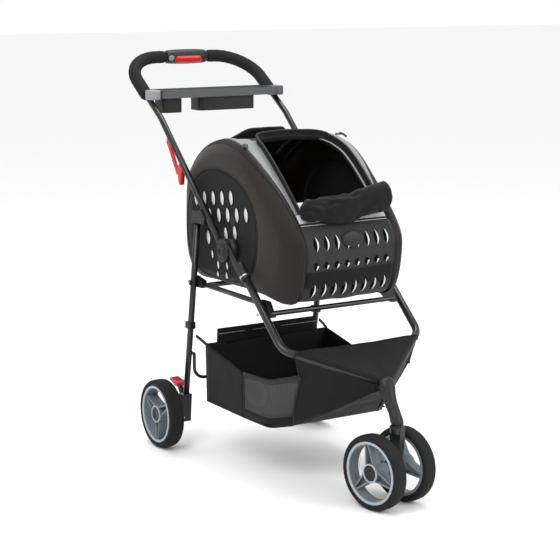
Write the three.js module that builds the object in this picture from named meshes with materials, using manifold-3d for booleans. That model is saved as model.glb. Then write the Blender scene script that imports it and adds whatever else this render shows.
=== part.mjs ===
// Three-wheeled folding pet stroller with a lift-off soft carrier.
// Millimetres, +Z up, the stroller faces -Y, its right side is -X.
// The origin is on the ground, in the middle of the footprint.
import * as THREE from "three";
import { mergeVertices } from "three/addons/utils/BufferGeometryUtils.js";
import Module from "manifold-3d";

const wasm = await Module();
wasm.setup();

// ---------------------------------------------------------------- driving dimensions
const GAP = 0.3; // clearance between pieces that touch
const RAD = Math.PI / 180;
const SIDES = [
  { name: "right", sign: -1 },
  { name: "left", sign: 1 },
];

// Frame tubes: half spacing of each pair and tube radius
const HANDLE_TUBE = { x: 190, r: 8 };
const FRONT_LEG = { x: 196, r: 9.5 };
const REAR_LEG = { x: 192, r: 8 };
const SEAT_RAIL = { x: 177, r: 6.5, z: 449 };
const FRONT_RAIL = { y: -204, z: 432 };

// Fold hub: the handle tubes and the front legs run parallel, one each side of its pin
const HUB = { y: -30, z: 560, r: 28, split: 198.5, inner: 176, outer: 213, pin: 6 };
const BEAM_ANGLE = 42.9; // slope of the handle tubes and front legs
const TUBE_OFFSET = 20; // distance of each tube's line from the hub pin

// Handle
const HANDLE_BEND = { y: 317, z: 856 };
const GRIP_ANGLE = 34; // slope of the handle above the bend
const CROWN_REACH = 257; // from the bend to the middle of the crown, along the slope
const CROWN_CORNER = 102; // bend radius of the crown's corners
const FOAM = { r: 16.5, start: 90, housing: 62 };

// Front legs, caster housing and swivel
const LEG_KNEE = { y: -282, z: 361 };
const HOUSING_TOP = { y: -428, z: 284 };
const SWIVEL = { y: -470, turn: 10.4, trail: 24, z: 197 };

// Wheels
const WHEEL_R = 90;
const FRONT_WHEEL = { width: 36, spacing: 98.8 };
const REAR_WHEEL = { width: 42, x: 235, y: 248 };
const RIM = { r: 73, lip: 66, hub: 22, cap: 18.5, bore: 5.3 };
const AXLE_R = 5;
const SPOKES = 3;
const WHEEL_FACETS = 32;

// Rear legs, their pivot on the seat rails and the cross bar
const REAR_PIVOT = { y: 147, z: 452, pin: 3 };
const REAR_SLOPE = 0.15; // rearward run for each millimetre of drop
const REAR_LEG_TOP = 636;
const REAR_LEG_FOOT = 86;
const CROSS_BAR = { y: 172, z: 193, r: 4.5, root: 262, corner: 30 };

// Parent tray
const TRAY = { half: 173, front: 330, rear: 418, z: 903, thick: 5, lip: 20 };
const CUP = { front: 348, rear: 409, wall: 2.5 };
const TRAY_CUPS = [
  { name: "tray_cup_small", from: -165, to: -106, depth: 39 },
  { name: "tray_cup_long", from: -57, to: 115, depth: 37 },
];

// Carrier: side outline as [y, z] points, half widths across X
const CARRIER_OUTLINE = [
  [-215, 452],
  [-262, 482],
  [-280, 568],
  [-268, 620],
  [-202, 692],
  [-104, 775],
  [-40, 809],
  [30, 822],
  [95, 815],
  [165, 790],
  [228, 742],
  [254, 684],
  [254, 520],
  [206, 462],
  [100, 460],
  [-100, 460],
];
const CARRIER_CENTRE = { y: -5, z: 630 };
const CARRIER_INNER_X = 128; // where the side shells meet the middle of the carrier
const WALL = 4;

// Basket
const BASKET = {
  half: 183,
  foot: 163,
  rear: 102,
  front: -188,
  bottom: 148,
  wall: 3,
  knee: { y: -277, z: 349 },
};

// ---------------------------------------------------------------- colours and finishes
const FINISH = {
  powderCoat: { color: 0x1c1c1e, roughness: 0.4, metalness: 0.6 },
  blackPlastic: { color: 0x1a1a1b, roughness: 0.5, metalness: 0 },
  foam: { color: 0x161617, roughness: 0.9, metalness: 0 },
  greyPlastic: { color: 0x4a4d50, roughness: 0.5, metalness: 0 },
  redPlastic: { color: 0xb5141c, roughness: 0.4, metalness: 0 },
  rim: { color: 0x8d989e, roughness: 0.45, metalness: 0.1 },
  tyre: { color: 0x1b1b1b, roughness: 0.85, metalness: 0 },
  steel: { color: 0xa8abae, roughness: 0.3, metalness: 1 },
  brownFabric: { color: 0x33261f, roughness: 0.75, metalness: 0 },
  blackFabric: { color: 0x18181a, roughness: 0.9, metalness: 0 },
  greyMesh: { color: 0xb9bbbd, roughness: 0.8, metalness: 0 },
};

const stroller = new THREE.Group();

function addMesh(parent, name, geometry, finish) {
  const mesh = new THREE.Mesh(geometry, new THREE.MeshStandardMaterial(FINISH[finish]));
  mesh.name = name;
  parent.add(mesh);
  return mesh;
}

// ---------------------------------------------------------------- solids
function toSolid(geometry) {
  const bare = geometry.index ? geometry.toNonIndexed() : geometry.clone();
  bare.deleteAttribute("normal");
  bare.deleteAttribute("uv");
  const merged = mergeVertices(bare, 1e-3);
  return new wasm.Manifold(
    new wasm.Mesh({
      numProp: 3,
      vertProperties: merged.attributes.position.array,
      triVerts: new Uint32Array(merged.index.array),
    }),
  );
}

function toGeometry(solid) {
  const mesh = solid.getMesh();
  const geometry = new THREE.BufferGeometry();
  geometry.setAttribute("position", new THREE.BufferAttribute(mesh.vertProperties, 3));
  geometry.setIndex(new THREE.BufferAttribute(mesh.triVerts, 1));
  geometry.computeVertexNormals();
  return geometry;
}

const join = (first, ...others) =>
  toGeometry(others.reduce((sum, next) => sum.add(toSolid(next)), toSolid(first)));

const cut = (body, ...tools) =>
  toGeometry(tools.reduce((left, tool) => left.subtract(toSolid(tool)), toSolid(body)));

// A path that an extrusion follows station by station
class StationPath extends THREE.Curve {
  constructor(stations) {
    super();
    this.stations = stations;
  }
  getPoint(t, target = new THREE.Vector3()) {
    const last = this.stations.length - 1;
    const place = Math.min(Math.max(t, 0), 1) * last;
    const i = Math.min(Math.floor(place + 1e-9), last - 1);
    return target.lerpVectors(this.stations[i], this.stations[i + 1], place - i);
  }
  getPointAt(u, target) {
    return this.getPoint(u, target);
  }
  getTangentAt(u, target = new THREE.Vector3()) {
    const last = this.stations.length - 1;
    const i = Math.round(u * last);
    const before = this.stations[Math.max(i - 1, 0)];
    const after = this.stations[Math.min(i + 1, last)];
    return target.subVectors(after, before).normalize();
  }
}

// Stations along straight runs whose corners are rounded: each corner is [x, y, z, radius]
function bentStations(corners, arcSteps = 5) {
  const points = corners.map((c) => new THREE.Vector3(c[0], c[1], c[2]));
  const stations = [points[0]];
  for (let i = 1; i < points.length - 1; i += 1) {
    const inward = new THREE.Vector3().subVectors(points[i - 1], points[i]).normalize();
    const outward = new THREE.Vector3().subVectors(points[i + 1], points[i]).normalize();
    const half = inward.angleTo(outward) / 2;
    const radius = corners[i][3];
    const setback = radius / Math.tan(half);
    const axis = new THREE.Vector3().addVectors(inward, outward).normalize();
    const centre = points[i].clone().addScaledVector(axis, radius / Math.sin(half));
    const start = points[i].clone().addScaledVector(inward, setback).sub(centre);
    const turn = new THREE.Vector3().crossVectors(inward, outward).normalize();
    const sweep = Math.PI - 2 * half;
    for (let k = 0; k <= arcSteps; k += 1) {
      const spoke = start.clone().applyAxisAngle(turn, (-sweep * k) / arcSteps);
      stations.push(spoke.add(centre));
    }
  }
  stations.push(points.at(-1));
  return stations;
}

function circleShape(radius, sides, hole = 0) {
  const ring = (r) =>
    Array.from({ length: sides }, (_, i) => {
      const a = (2 * Math.PI * i) / sides;
      return new THREE.Vector2(r * Math.cos(a), r * Math.sin(a));
    });
  const shape = new THREE.Shape(ring(radius));
  if (hole > 0) shape.holes.push(new THREE.Path(ring(hole).reverse()));
  return shape;
}

function tube(stations, radius, sides = 12, hole = 0) {
  return new THREE.ExtrudeGeometry(circleShape(radius, sides, hole), {
    steps: stations.length - 1,
    bevelEnabled: false,
    extrudePath: new StationPath(stations),
  });
}

const straight = (a, b) => [new THREE.Vector3(...a), new THREE.Vector3(...b)];

// A barrel along X from x0 to x1
function barrel(radius, x0, x1, y, z, sides = 20) {
  return tube(straight([x0, y, z], [x1, y, z]), radius, sides);
}

// A barrel along Y from y0 to y1
function barrelAlongY(radius, x, y0, y1, z, sides = 12) {
  return tube(straight([x, y0, z], [x, y1, z]), radius, sides);
}

// A slab with a [y, z] outline, from x0 to x1
function slab(outline, x0, x1) {
  const shape = new THREE.Shape(outline.map(([y, z]) => new THREE.Vector2(y, z)));
  const geometry = new THREE.ExtrudeGeometry(shape, {
    depth: Math.abs(x1 - x0),
    bevelEnabled: false,
  });
  const axes = new THREE.Matrix4().makeBasis(
    new THREE.Vector3(0, 1, 0),
    new THREE.Vector3(0, 0, 1),
    new THREE.Vector3(1, 0, 0),
  );
  return geometry.applyMatrix4(axes).translate(Math.min(x0, x1), 0, 0);
}

function box(x0, x1, y0, y1, z0, z1) {
  const geometry = new THREE.BoxGeometry(x1 - x0, y1 - y0, z1 - z0);
  return geometry.translate((x0 + x1) / 2, (y0 + y1) / 2, (z0 + z1) / 2);
}

// A closed body through outlines that stand at growing X: [{ x, outline: [[y, z], ...] }]
function loftX(sections) {
  const count = sections[0].outline.length;
  const flat = ({ outline }) => outline.map(([y, z]) => new THREE.Vector2(y, z));
  const clockwise = THREE.ShapeUtils.area(flat(sections[0])) < 0;
  const position = sections.flatMap(({ x, outline }) => outline.flatMap(([y, z]) => [x, y, z]));
  const index = [];
  for (let s = 0; s < sections.length - 1; s += 1) {
    for (let i = 0; i < count; i += 1) {
      const a = s * count + i;
      const b = s * count + ((i + 1) % count);
      const [near, far] = clockwise ? [b, a] : [a, b];
      index.push(near, far, far + count, near, far + count, near + count);
    }
  }
  const last = (sections.length - 1) * count;
  const capOf = (section) => THREE.ShapeUtils.triangulateShape(flat(section), []);
  for (const [a, b, c] of capOf(sections[0])) index.push(c, b, a);
  for (const [a, b, c] of capOf(sections.at(-1))) index.push(last + a, last + b, last + c);
  const geometry = new THREE.BufferGeometry();
  geometry.setAttribute("position", new THREE.Float32BufferAttribute(position, 3));
  geometry.setIndex(index);
  return geometry;
}

// A lathe about X: profile points are [radius, x], in either direction round the section
function latheX(profile, segments) {
  const points = profile.map(([r, x]) => new THREE.Vector2(r, x));
  const outward = THREE.ShapeUtils.area(points) > 0 ? points : points.reverse();
  return new THREE.LatheGeometry(outward, segments).rotateZ(-Math.PI / 2);
}

// ---------------------------------------------------------------- frame lines
const beam = { y: Math.cos(BEAM_ANGLE * RAD), z: Math.sin(BEAM_ANGLE * RAD) };
const grip = { y: Math.cos(GRIP_ANGLE * RAD), z: Math.sin(GRIP_ANGLE * RAD) };

// Point on the front leg's line, a distance below the hub pin
const onLeg = (run) => ({
  y: HUB.y - TUBE_OFFSET * beam.z - run * beam.y,
  z: HUB.z + TUBE_OFFSET * beam.y - run * beam.z,
});
// Point on the handle tube's line, a distance above the hub pin
const onHandle = (run) => ({
  y: HUB.y + TUBE_OFFSET * beam.z + run * beam.y,
  z: HUB.z - TUBE_OFFSET * beam.y + run * beam.z,
});
// [y, z] of a place beside the handle tube: a distance up from the hub pin, and one behind
const behindHandle = (run, back) => {
  const p = onHandle(run);
  return [p.y + back * beam.z, p.z - back * beam.y];
};
const onGrip = (run) => ({ y: HANDLE_BEND.y + run * grip.y, z: HANDLE_BEND.z + run * grip.z });
const rearLegY = (z) => REAR_PIVOT.y + REAR_SLOPE * (REAR_PIVOT.z - z);

// ---------------------------------------------------------------- front frame
function frontLegStations(sign) {
  const top = onLeg(66);
  return bentStations(
    [
      [sign * FRONT_LEG.x, top.y, top.z],
      [sign * FRONT_LEG.x, LEG_KNEE.y, LEG_KNEE.z, 45],
      [sign * 9, HOUSING_TOP.y + 9, HOUSING_TOP.z + 4],
    ],
    4,
  );
}

function housingGeometry() {
  const body = [
    { z: SWIVEL.z + 2, y: SWIVEL.y, r: 15 },
    { z: SWIVEL.z + 22, y: SWIVEL.y + 10, r: 15 },
    { z: 262, y: -433, r: 18 },
    { z: 292, y: -424, r: 20 },
    { z: 300, y: -421, r: 14 },
  ];
  const steps = 14;
  const ring = ({ z, y, r }) =>
    Array.from({ length: steps }, (_, i) => {
      const a = (2 * Math.PI * i) / steps;
      return [r * Math.cos(a), y + r * Math.sin(a), z];
    });
  const position = body.flatMap((level) => ring(level).flat());
  const index = [];
  for (let s = 0; s < body.length - 1; s += 1) {
    for (let i = 0; i < steps; i += 1) {
      const a = s * steps + i;
      const b = s * steps + ((i + 1) % steps);
      index.push(a, b, b + steps, a, b + steps, a + steps);
    }
  }
  const last = (body.length - 1) * steps;
  for (let i = 1; i < steps - 1; i += 1) {
    index.push(0, i + 1, i);
    index.push(last, last + i, last + i + 1);
  }
  const geometry = new THREE.BufferGeometry();
  geometry.setAttribute("position", new THREE.Float32BufferAttribute(position, 3));
  geometry.setIndex(index);
  const sockets = SIDES.map(({ sign }) => tube(frontLegStations(sign), FRONT_LEG.r + GAP));
  return cut(geometry, ...sockets);
}

function hubOutline(from, to, width) {
  // Round head about the pin with a tail along the leg's line
  const head = [];
  const steps = 14;
  for (let i = 0; i <= steps; i += 1) {
    const a = (BEAM_ANGLE - 50 + (230 * i) / steps) * RAD;
    head.push([HUB.y + HUB.r * Math.cos(a), HUB.z + HUB.r * Math.sin(a)]);
  }
  const near = onLeg(from);
  const far = onLeg(to);
  const off = (p, k) => [p.y + k * beam.z, p.z - k * beam.y];
  return [...head, off(near, -width), off(far, -width), off(far, width), off(near, width + 9)];
}

for (const { name, sign } of SIDES) {
  addMesh(
    stroller,
    `front_leg_${name}`,
    tube(frontLegStations(sign), FRONT_LEG.r),
    "powderCoat",
  );

  // Leg half of the hub: outer disc, and a sleeve over the top of the leg tube
  const disc = slab(hubOutline(60, 108, 12.5), sign * HUB.split, sign * HUB.outer);
  const sleeveTop = onLeg(67);
  const sleeveFoot = onLeg(108);
  const sleeve = tube(
    straight(
      [sign * FRONT_LEG.x, sleeveTop.y, sleeveTop.z],
      [sign * FRONT_LEG.x, sleeveFoot.y, sleeveFoot.z],
    ),
    12.5,
    14,
  );
  const legHole = tube(frontLegStations(sign), FRONT_LEG.r + GAP);
  const pin = barrel(HUB.pin, sign * (HUB.inner + 0.5), sign * HUB.outer, HUB.y, HUB.z, 14);
  const pinCap = barrel(13, sign * (HUB.outer - 1), sign * (HUB.outer + 5), HUB.y, HUB.z, 20);
  addMesh(
    stroller,
    `hub_leg_half_${name}`,
    join(cut(join(disc, sleeve), legHole), pin, pinCap),
    "blackPlastic",
  );

  // Seat rail, and the block on its rear end whose pin carries the rear leg
  const railHole = barrelAlongY(SEAT_RAIL.r + GAP, sign * SEAT_RAIL.x, -192, 141, SEAT_RAIL.z);
  addMesh(
    stroller,
    `seat_rail_${name}`,
    barrelAlongY(SEAT_RAIL.r, sign * SEAT_RAIL.x, -190, 139, SEAT_RAIL.z),
    "powderCoat",
  );
  const block = slab(
    [
      [118, 440],
      [160, 438],
      [166, 452],
      [160, 466],
      [118, 458],
    ],
    sign * 170,
    sign * (REAR_LEG.x - REAR_LEG.r - GAP),
  );
  const pivotPin = join(
    barrel(REAR_PIVOT.pin, sign * 180, sign * 201, REAR_PIVOT.y, REAR_PIVOT.z, 10),
    barrel(6.5, sign * 200.6, sign * 205, REAR_PIVOT.y, REAR_PIVOT.z, 10),
  );
  addMesh(
    stroller,
    `rear_pivot_block_${name}`,
    join(cut(block, railHole), pivotPin),
    "blackPlastic",
  );
}

// Front rail with a clamp at each end that holds the front leg and the seat rail
const legHoles = SIDES.map(({ sign }) => tube(frontLegStations(sign), FRONT_LEG.r + GAP));
const railHoles = SIDES.map(({ sign }) =>
  barrelAlongY(SEAT_RAIL.r + GAP, sign * SEAT_RAIL.x, -192, 141, SEAT_RAIL.z),
);
const clamps = SIDES.map(({ sign }) =>
  slab(
    [
      [-214, 424],
      [-190, 422],
      [-158, 438],
      [-158, 458],
      [-190, 458],
    ],
    sign * 169,
    sign * 186,
  ),
);
addMesh(
  stroller,
  "seat_front_rail",
  cut(
    join(barrel(SEAT_RAIL.r, -180, 180, FRONT_RAIL.y, FRONT_RAIL.z, 12), ...clamps),
    ...legHoles,
    ...railHoles,
  ),
  "powderCoat",
);
addMesh(
  stroller,
  "seat_rear_rail",
  cut(barrel(SEAT_RAIL.r, -171, 171, 108, SEAT_RAIL.z, 12), ...railHoles),
  "powderCoat",
);
addMesh(stroller, "caster_housing", housingGeometry(), "blackPlastic");

// ---------------------------------------------------------------- handle
function handleStations() {
  const foot = onHandle(2);
  const crown = onGrip(CROWN_REACH);
  return bentStations(
    [
      [-HANDLE_TUBE.x, foot.y, foot.z],
      [-HANDLE_TUBE.x, HANDLE_BEND.y, HANDLE_BEND.z, 90],
      [-HANDLE_TUBE.x, crown.y, crown.z, CROWN_CORNER],
      [HANDLE_TUBE.x, crown.y, crown.z, CROWN_CORNER],
      [HANDLE_TUBE.x, HANDLE_BEND.y, HANDLE_BEND.z, 90],
      [HANDLE_TUBE.x, foot.y, foot.z],
    ],
    6,
  );
}
addMesh(stroller, "handle_tube", tube(handleStations(), HANDLE_TUBE.r, 12), "powderCoat");

const crown = onGrip(CROWN_REACH);
for (const { name, sign } of SIDES) {
  const start = onGrip(FOAM.start);
  const foamStations = bentStations(
    [
      [sign * HANDLE_TUBE.x, start.y, start.z],
      [sign * HANDLE_TUBE.x, crown.y, crown.z, CROWN_CORNER],
      [sign * (FOAM.housing + 0.5), crown.y, crown.z],
    ],
    8,
  );
  addMesh(
    stroller,
    `foam_grip_${name}`,
    tube(foamStations, FOAM.r, 12, HANDLE_TUBE.r + 1.2),
    "foam",
  );

  // Handle half of the hub: a disc with a socket for the handle tube
  const disc = barrel(HUB.r, sign * HUB.inner, sign * (HUB.split - GAP), HUB.y, HUB.z, 24);
  const foot = onHandle(4);
  const top = onHandle(46);
  const socket = tube(
    straight(
      [sign * (HANDLE_TUBE.x - 2.5), foot.y, foot.z],
      [sign * (HANDLE_TUBE.x - 2.5), top.y, top.z],
    ),
    10.5,
    14,
  );
  const tubeHole = tube(handleStations(), HANDLE_TUBE.r + GAP);
  const pinHole = barrel(HUB.pin + GAP, sign * 170, sign * 220, HUB.y, HUB.z, 14);
  addMesh(
    stroller,
    `hub_handle_half_${name}`,
    cut(join(disc, socket), tubeHole, pinHole),
    "blackPlastic",
  );
}

// Trigger housing in the middle of the crown, with a pocket underneath for the trigger
const housingBody = latheX(
  [
    [0, -FOAM.housing],
    [16, -FOAM.housing],
    [19.5, -44],
    [19.5, 44],
    [16, FOAM.housing],
    [0, FOAM.housing],
  ],
  20,
).translate(0, crown.y, crown.z);
const TRIGGER = { half: 37.5, back: 13.6, front: 25, travel: 4 };
const triggerPocket = box(
  -TRIGGER.half - 2,
  TRIGGER.half + 2,
  crown.y - 30,
  crown.y - TRIGGER.back + TRIGGER.travel + GAP,
  crown.z - 14,
  crown.z + 3,
);
addMesh(
  stroller,
  "trigger_housing",
  cut(housingBody, tube(handleStations(), HANDLE_TUBE.r + GAP), triggerPocket),
  "blackPlastic",
);
addMesh(
  stroller,
  "trigger_button",
  slab(
    [
      [crown.y - 18, crown.z - 13],
      [crown.y - TRIGGER.back, crown.z - 13],
      [crown.y - TRIGGER.back, crown.z + 2.4],
      [crown.y - 21, crown.z + 2.4],
      [crown.y - TRIGGER.front, crown.z - 5],
    ],
    -TRIGGER.half,
    TRIGGER.half,
  ),
  "redPlastic",
);

// Parent tray, hung between the handle tubes, with two cups let into it
const cupHoles = TRAY_CUPS.map(({ from, to }) =>
  box(from, to, CUP.front, CUP.rear, TRAY.z - 60, TRAY.z + 60),
);
const trayBlock = (inset, z0, z1) =>
  box(
    inset - TRAY.half,
    TRAY.half - inset,
    TRAY.front + inset,
    TRAY.rear - inset,
    z0,
    z1,
  );
const trayPlate = trayBlock(0, TRAY.z, TRAY.z + TRAY.lip);
const trayWell = trayBlock(4, TRAY.z + TRAY.thick, TRAY.z + 99);
const trayEnds = SIDES.map(({ sign }) =>
  box(
    Math.min(sign * (TRAY.half - 1), sign * 203),
    Math.max(sign * (TRAY.half - 1), sign * 203),
    346,
    380,
    TRAY.z - 4,
    TRAY.z + TRAY.lip + 1,
  ),
);
const handleHole = tube(handleStations(), HANDLE_TUBE.r + GAP);
addMesh(
  stroller,
  "parent_tray",
  cut(join(cut(trayPlate, trayWell), ...trayEnds), ...cupHoles, handleHole),
  "greyPlastic",
);
for (const { name, from, to, depth } of TRAY_CUPS) {
  const y0 = CUP.front + GAP;
  const y1 = CUP.rear - GAP;
  const x0 = from + GAP;
  const x1 = to - GAP;
  const top = TRAY.z + TRAY.thick + GAP;
  const cupBlock = (inset, z0, z1) => box(x0 + inset, x1 - inset, y0 + inset, y1 - inset, z0, z1);
  addMesh(
    stroller,
    name,
    cut(
      join(cupBlock(0, TRAY.z - depth, top + 2), cupBlock(-3, top, top + 2)),
      cupBlock(CUP.wall, TRAY.z - depth + CUP.wall, top + 50),
    ),
    "blackPlastic",
  );
}

// Side lock behind the right handle tube: a pivot clip, a lever and the catch it snaps over
const LOCK = { top: 388, foot: 299, pivot: 16, round: 3.4 };
const lockSlab = (halfWidth, ...places) =>
  slab(
    places.map(([run, back]) => behindHandle(run, back)),
    -HANDLE_TUBE.x - halfWidth,
    -HANDLE_TUBE.x + halfWidth,
  );
addMesh(
  stroller,
  "side_lock_clip",
  cut(
    lockSlab(5, [LOCK.top - 24, 0], [LOCK.top - 20, 12], [LOCK.top + 4, 12], [LOCK.top + 8, 0]),
    handleHole,
  ),
  "redPlastic",
);
addMesh(
  stroller,
  "side_lock_lever",
  lockSlab(
    4,
    [LOCK.top, LOCK.pivot - LOCK.round],
    [LOCK.top - 22, LOCK.pivot - LOCK.round],
    [LOCK.foot + 2, 33],
    [LOCK.foot - 2, 41],
    [LOCK.top, LOCK.pivot + LOCK.round],
    [LOCK.top + LOCK.round * 0.8, LOCK.pivot + LOCK.round * 0.5],
    [LOCK.top + LOCK.round * 0.8, LOCK.pivot - LOCK.round * 0.5],
  ),
  "redPlastic",
);
addMesh(
  stroller,
  "side_lock_catch",
  cut(
    lockSlab(
      6,
      [LOCK.foot + 6, 0],
      [LOCK.foot + 6, 26],
      [LOCK.foot - 30, 48],
      [LOCK.foot - 36, 42],
      [LOCK.foot - 12, 0],
    ),
    handleHole,
  ),
  "redPlastic",
);

// ---------------------------------------------------------------- rear legs
for (const { name, sign } of SIDES) {
  const x = sign * REAR_LEG.x;
  const leg = tube(
    straight([x, rearLegY(REAR_LEG_FOOT), REAR_LEG_FOOT], [x, rearLegY(REAR_LEG_TOP), REAR_LEG_TOP]),
    REAR_LEG.r,
  );
  const pivotHole = barrel(
    REAR_PIVOT.pin + GAP,
    sign * 165,
    sign * 210,
    REAR_PIVOT.y,
    REAR_PIVOT.z,
    10,
  );
  addMesh(stroller, `rear_leg_${name}`, cut(leg, pivotHole), "powderCoat");

  // Saddle on top of the leg: a cradle under the handle tube
  const reach = 132;
  const saddle = slab(
    [
      behindHandle(reach - 16, -1),
      behindHandle(reach - 22, 14),
      [rearLegY(608) - 11, 610],
      [rearLegY(606) + 11, 606],
      [rearLegY(640) + 12, 640],
      behindHandle(reach + 20, 14),
      behindHandle(reach + 16, -1),
    ],
    sign * 179,
    sign * 204,
  );
  const cradle = tube(
    straight(
      [sign * HANDLE_TUBE.x, behindHandle(60, 0)[0], behindHandle(60, 0)[1]],
      [sign * HANDLE_TUBE.x, behindHandle(220, 0)[0], behindHandle(220, 0)[1]],
    ),
    HANDLE_TUBE.r + 1.2,
    14,
  );
  const mouth = slab(
    [behindHandle(60, 0), behindHandle(60, -30), behindHandle(220, -30), behindHandle(220, 0)],
    sign * (HANDLE_TUBE.x - HANDLE_TUBE.r - 1.2),
    sign * (HANDLE_TUBE.x + HANDLE_TUBE.r + 1.2),
  );
  const legHole = tube(
    straight([x, rearLegY(500), 500], [x, rearLegY(REAR_LEG_TOP + 1), REAR_LEG_TOP + 1]),
    REAR_LEG.r + GAP,
  );
  addMesh(
    stroller,
    `rear_leg_saddle_${name}`,
    cut(saddle, cradle, mouth, legHole),
    "blackPlastic",
  );

  // Plastic foot that carries the axle behind the leg
  const foot = slab(
    [
      [rearLegY(80) - 14, 76],
      [REAR_WHEEL.y - 6, 72],
      [REAR_WHEEL.y + 14, 78],
      [REAR_WHEEL.y + 17, 96],
      [REAR_WHEEL.y + 4, 108],
      [rearLegY(140) + 14, 124],
      [rearLegY(150) + 11, 150],
      [rearLegY(150) - 11, 150],
    ],
    sign * 181,
    sign * 210,
  );
  const legSocket = tube(
    straight([x, rearLegY(REAR_LEG_FOOT - 1), REAR_LEG_FOOT - 1], [x, rearLegY(200), 200]),
    REAR_LEG.r + GAP,
  );
  const axleHole = barrel(AXLE_R + GAP, sign * 170, sign * 270, REAR_WHEEL.y, WHEEL_R, 14);
  addMesh(
    stroller,
    `wheel_bracket_${name}`,
    cut(foot, legSocket, axleHole),
    "blackPlastic",
  );
  addMesh(
    stroller,
    `rear_axle_${name}`,
    join(
      barrel(AXLE_R, sign * 178, sign * 248, REAR_WHEEL.y, WHEEL_R, 14),
      barrel(8, sign * 176, sign * 180.7, REAR_WHEEL.y, WHEEL_R, 14),
    ),
    "steel",
  );

  // Brake pedal inboard of the foot: an arm with a wide pad
  const y0 = REAR_WHEEL.y - 16;
  const pedalArm = slab(
    [
      [y0 - 8, 100],
      [y0 - 2, 94],
      [y0 + 8, 98],
      [y0 + 44, 150],
      [y0 + 38, 154],
      [y0 + 32, 152],
    ],
    sign * 162,
    sign * 175.6,
  );
  const pedalPad = slab(
    [
      [y0 + 31, 148.6],
      [y0 + 38, 149],
      [y0 + 45, 146.4],
      [y0 + 76, 160],
      [y0 + 78, 167],
      [y0 + 40, 164],
      [y0 + 30, 156],
    ],
    sign * 152,
    sign * 180,
  );
  addMesh(stroller, `brake_pedal_${name}`, join(pedalArm, pedalPad), "redPlastic");
}

const barTop = { y: rearLegY(CROSS_BAR.root) - 1, x: REAR_LEG.x - REAR_LEG.r - 5 };
addMesh(
  stroller,
  "rear_cross_bar",
  cut(
    tube(
      bentStations(
        [
          [-REAR_LEG.x, barTop.y, CROSS_BAR.root],
          [-barTop.x, barTop.y - 4, CROSS_BAR.root - 4, 5],
          [-barTop.x, CROSS_BAR.y, CROSS_BAR.z, CROSS_BAR.corner],
          [barTop.x, CROSS_BAR.y, CROSS_BAR.z, CROSS_BAR.corner],
          [barTop.x, barTop.y - 4, CROSS_BAR.root - 4, 5],
          [REAR_LEG.x, barTop.y, CROSS_BAR.root],
        ],
        4,
      ),
      CROSS_BAR.r,
      10,
    ),
    ...SIDES.map(({ sign }) =>
      tube(
        straight(
          [sign * REAR_LEG.x, rearLegY(100), 100],
          [sign * REAR_LEG.x, rearLegY(400), 400],
        ),
        REAR_LEG.r + GAP,
      ),
    ),
  ),
  "powderCoat",
);

// ---------------------------------------------------------------- wheels
function tyreGeometry(width) {
  const h = width / 2;
  const bead = RIM.r + 0.4;
  return latheX(
    [
      [bead, -h],
      [WHEEL_R - 5, -h + 1],
      [WHEEL_R - 0.8, -h + 7],
      [WHEEL_R, 0],
      [WHEEL_R - 0.8, h - 7],
      [WHEEL_R - 5, h - 1],
      [bead, h],
      [bead, -h],
    ],
    WHEEL_FACETS,
  );
}

function rimGeometry(width, outward, boss) {
  const h = width / 2 - 3;
  const band = latheX(
    [
      [RIM.lip, -h],
      [RIM.r, -h],
      [RIM.r, h],
      [RIM.lip, h],
      [RIM.lip, -h],
    ],
    WHEEL_FACETS,
  );
  const hubEnds = [-outward * boss, outward * h].sort((a, b) => a - b);
  const hub = latheX(
    [
      [RIM.bore, hubEnds[0]],
      [RIM.hub, hubEnds[0]],
      [RIM.hub, hubEnds[1]],
      [RIM.bore, hubEnds[1]],
      [RIM.bore, hubEnds[0]],
    ],
    20,
  );
  const spokes = Array.from({ length: SPOKES }, (_, i) => {
    const wedge = [
      [-17, 15],
      [17, 15],
      [6, RIM.lip + 3],
      [-6, RIM.lip + 3],
    ];
    const geometry = slab(wedge, -h + 5, h - 5);
    return geometry.rotateX((2 * Math.PI * i) / SPOKES);
  });
  return cut(
    join(band, hub, ...spokes),
    barrel(RIM.bore, -60, 60, 0, 0, 14),
    barrel(RIM.cap + GAP, outward * (h - 4), outward * (h + 10), 0, 0, 20),
  );
}

function capGeometry(width, outward) {
  const h = width / 2 - 3;
  const [inner, edge, face] = [h - 3.6, h + 1, h + 3.5].map((v) => outward * v);
  const profile = [
    [0, inner],
    [RIM.cap, inner],
    [RIM.cap, edge],
    [RIM.cap - 5, face],
    [0, face],
  ];
  return latheX(profile, 20);
}

function addWheel(parent, name, width, outward, boss, place, startAngle) {
  const wheel = new THREE.Group();
  wheel.position.set(...place);
  wheel.rotation.x = startAngle * RAD;
  addMesh(wheel, `${name}_tyre`, tyreGeometry(width), "tyre");
  addMesh(wheel, `${name}_rim`, rimGeometry(width, outward, boss), "rim");
  addMesh(wheel, `${name}_cap`, capGeometry(width, outward), "blackPlastic");
  parent.add(wheel);
}

for (const { name, sign } of SIDES) {
  const place = [sign * REAR_WHEEL.x, REAR_WHEEL.y, WHEEL_R];
  addWheel(stroller, `rear_wheel_${name}`, REAR_WHEEL.width, sign, 20, place, 11.25);
}

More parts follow.
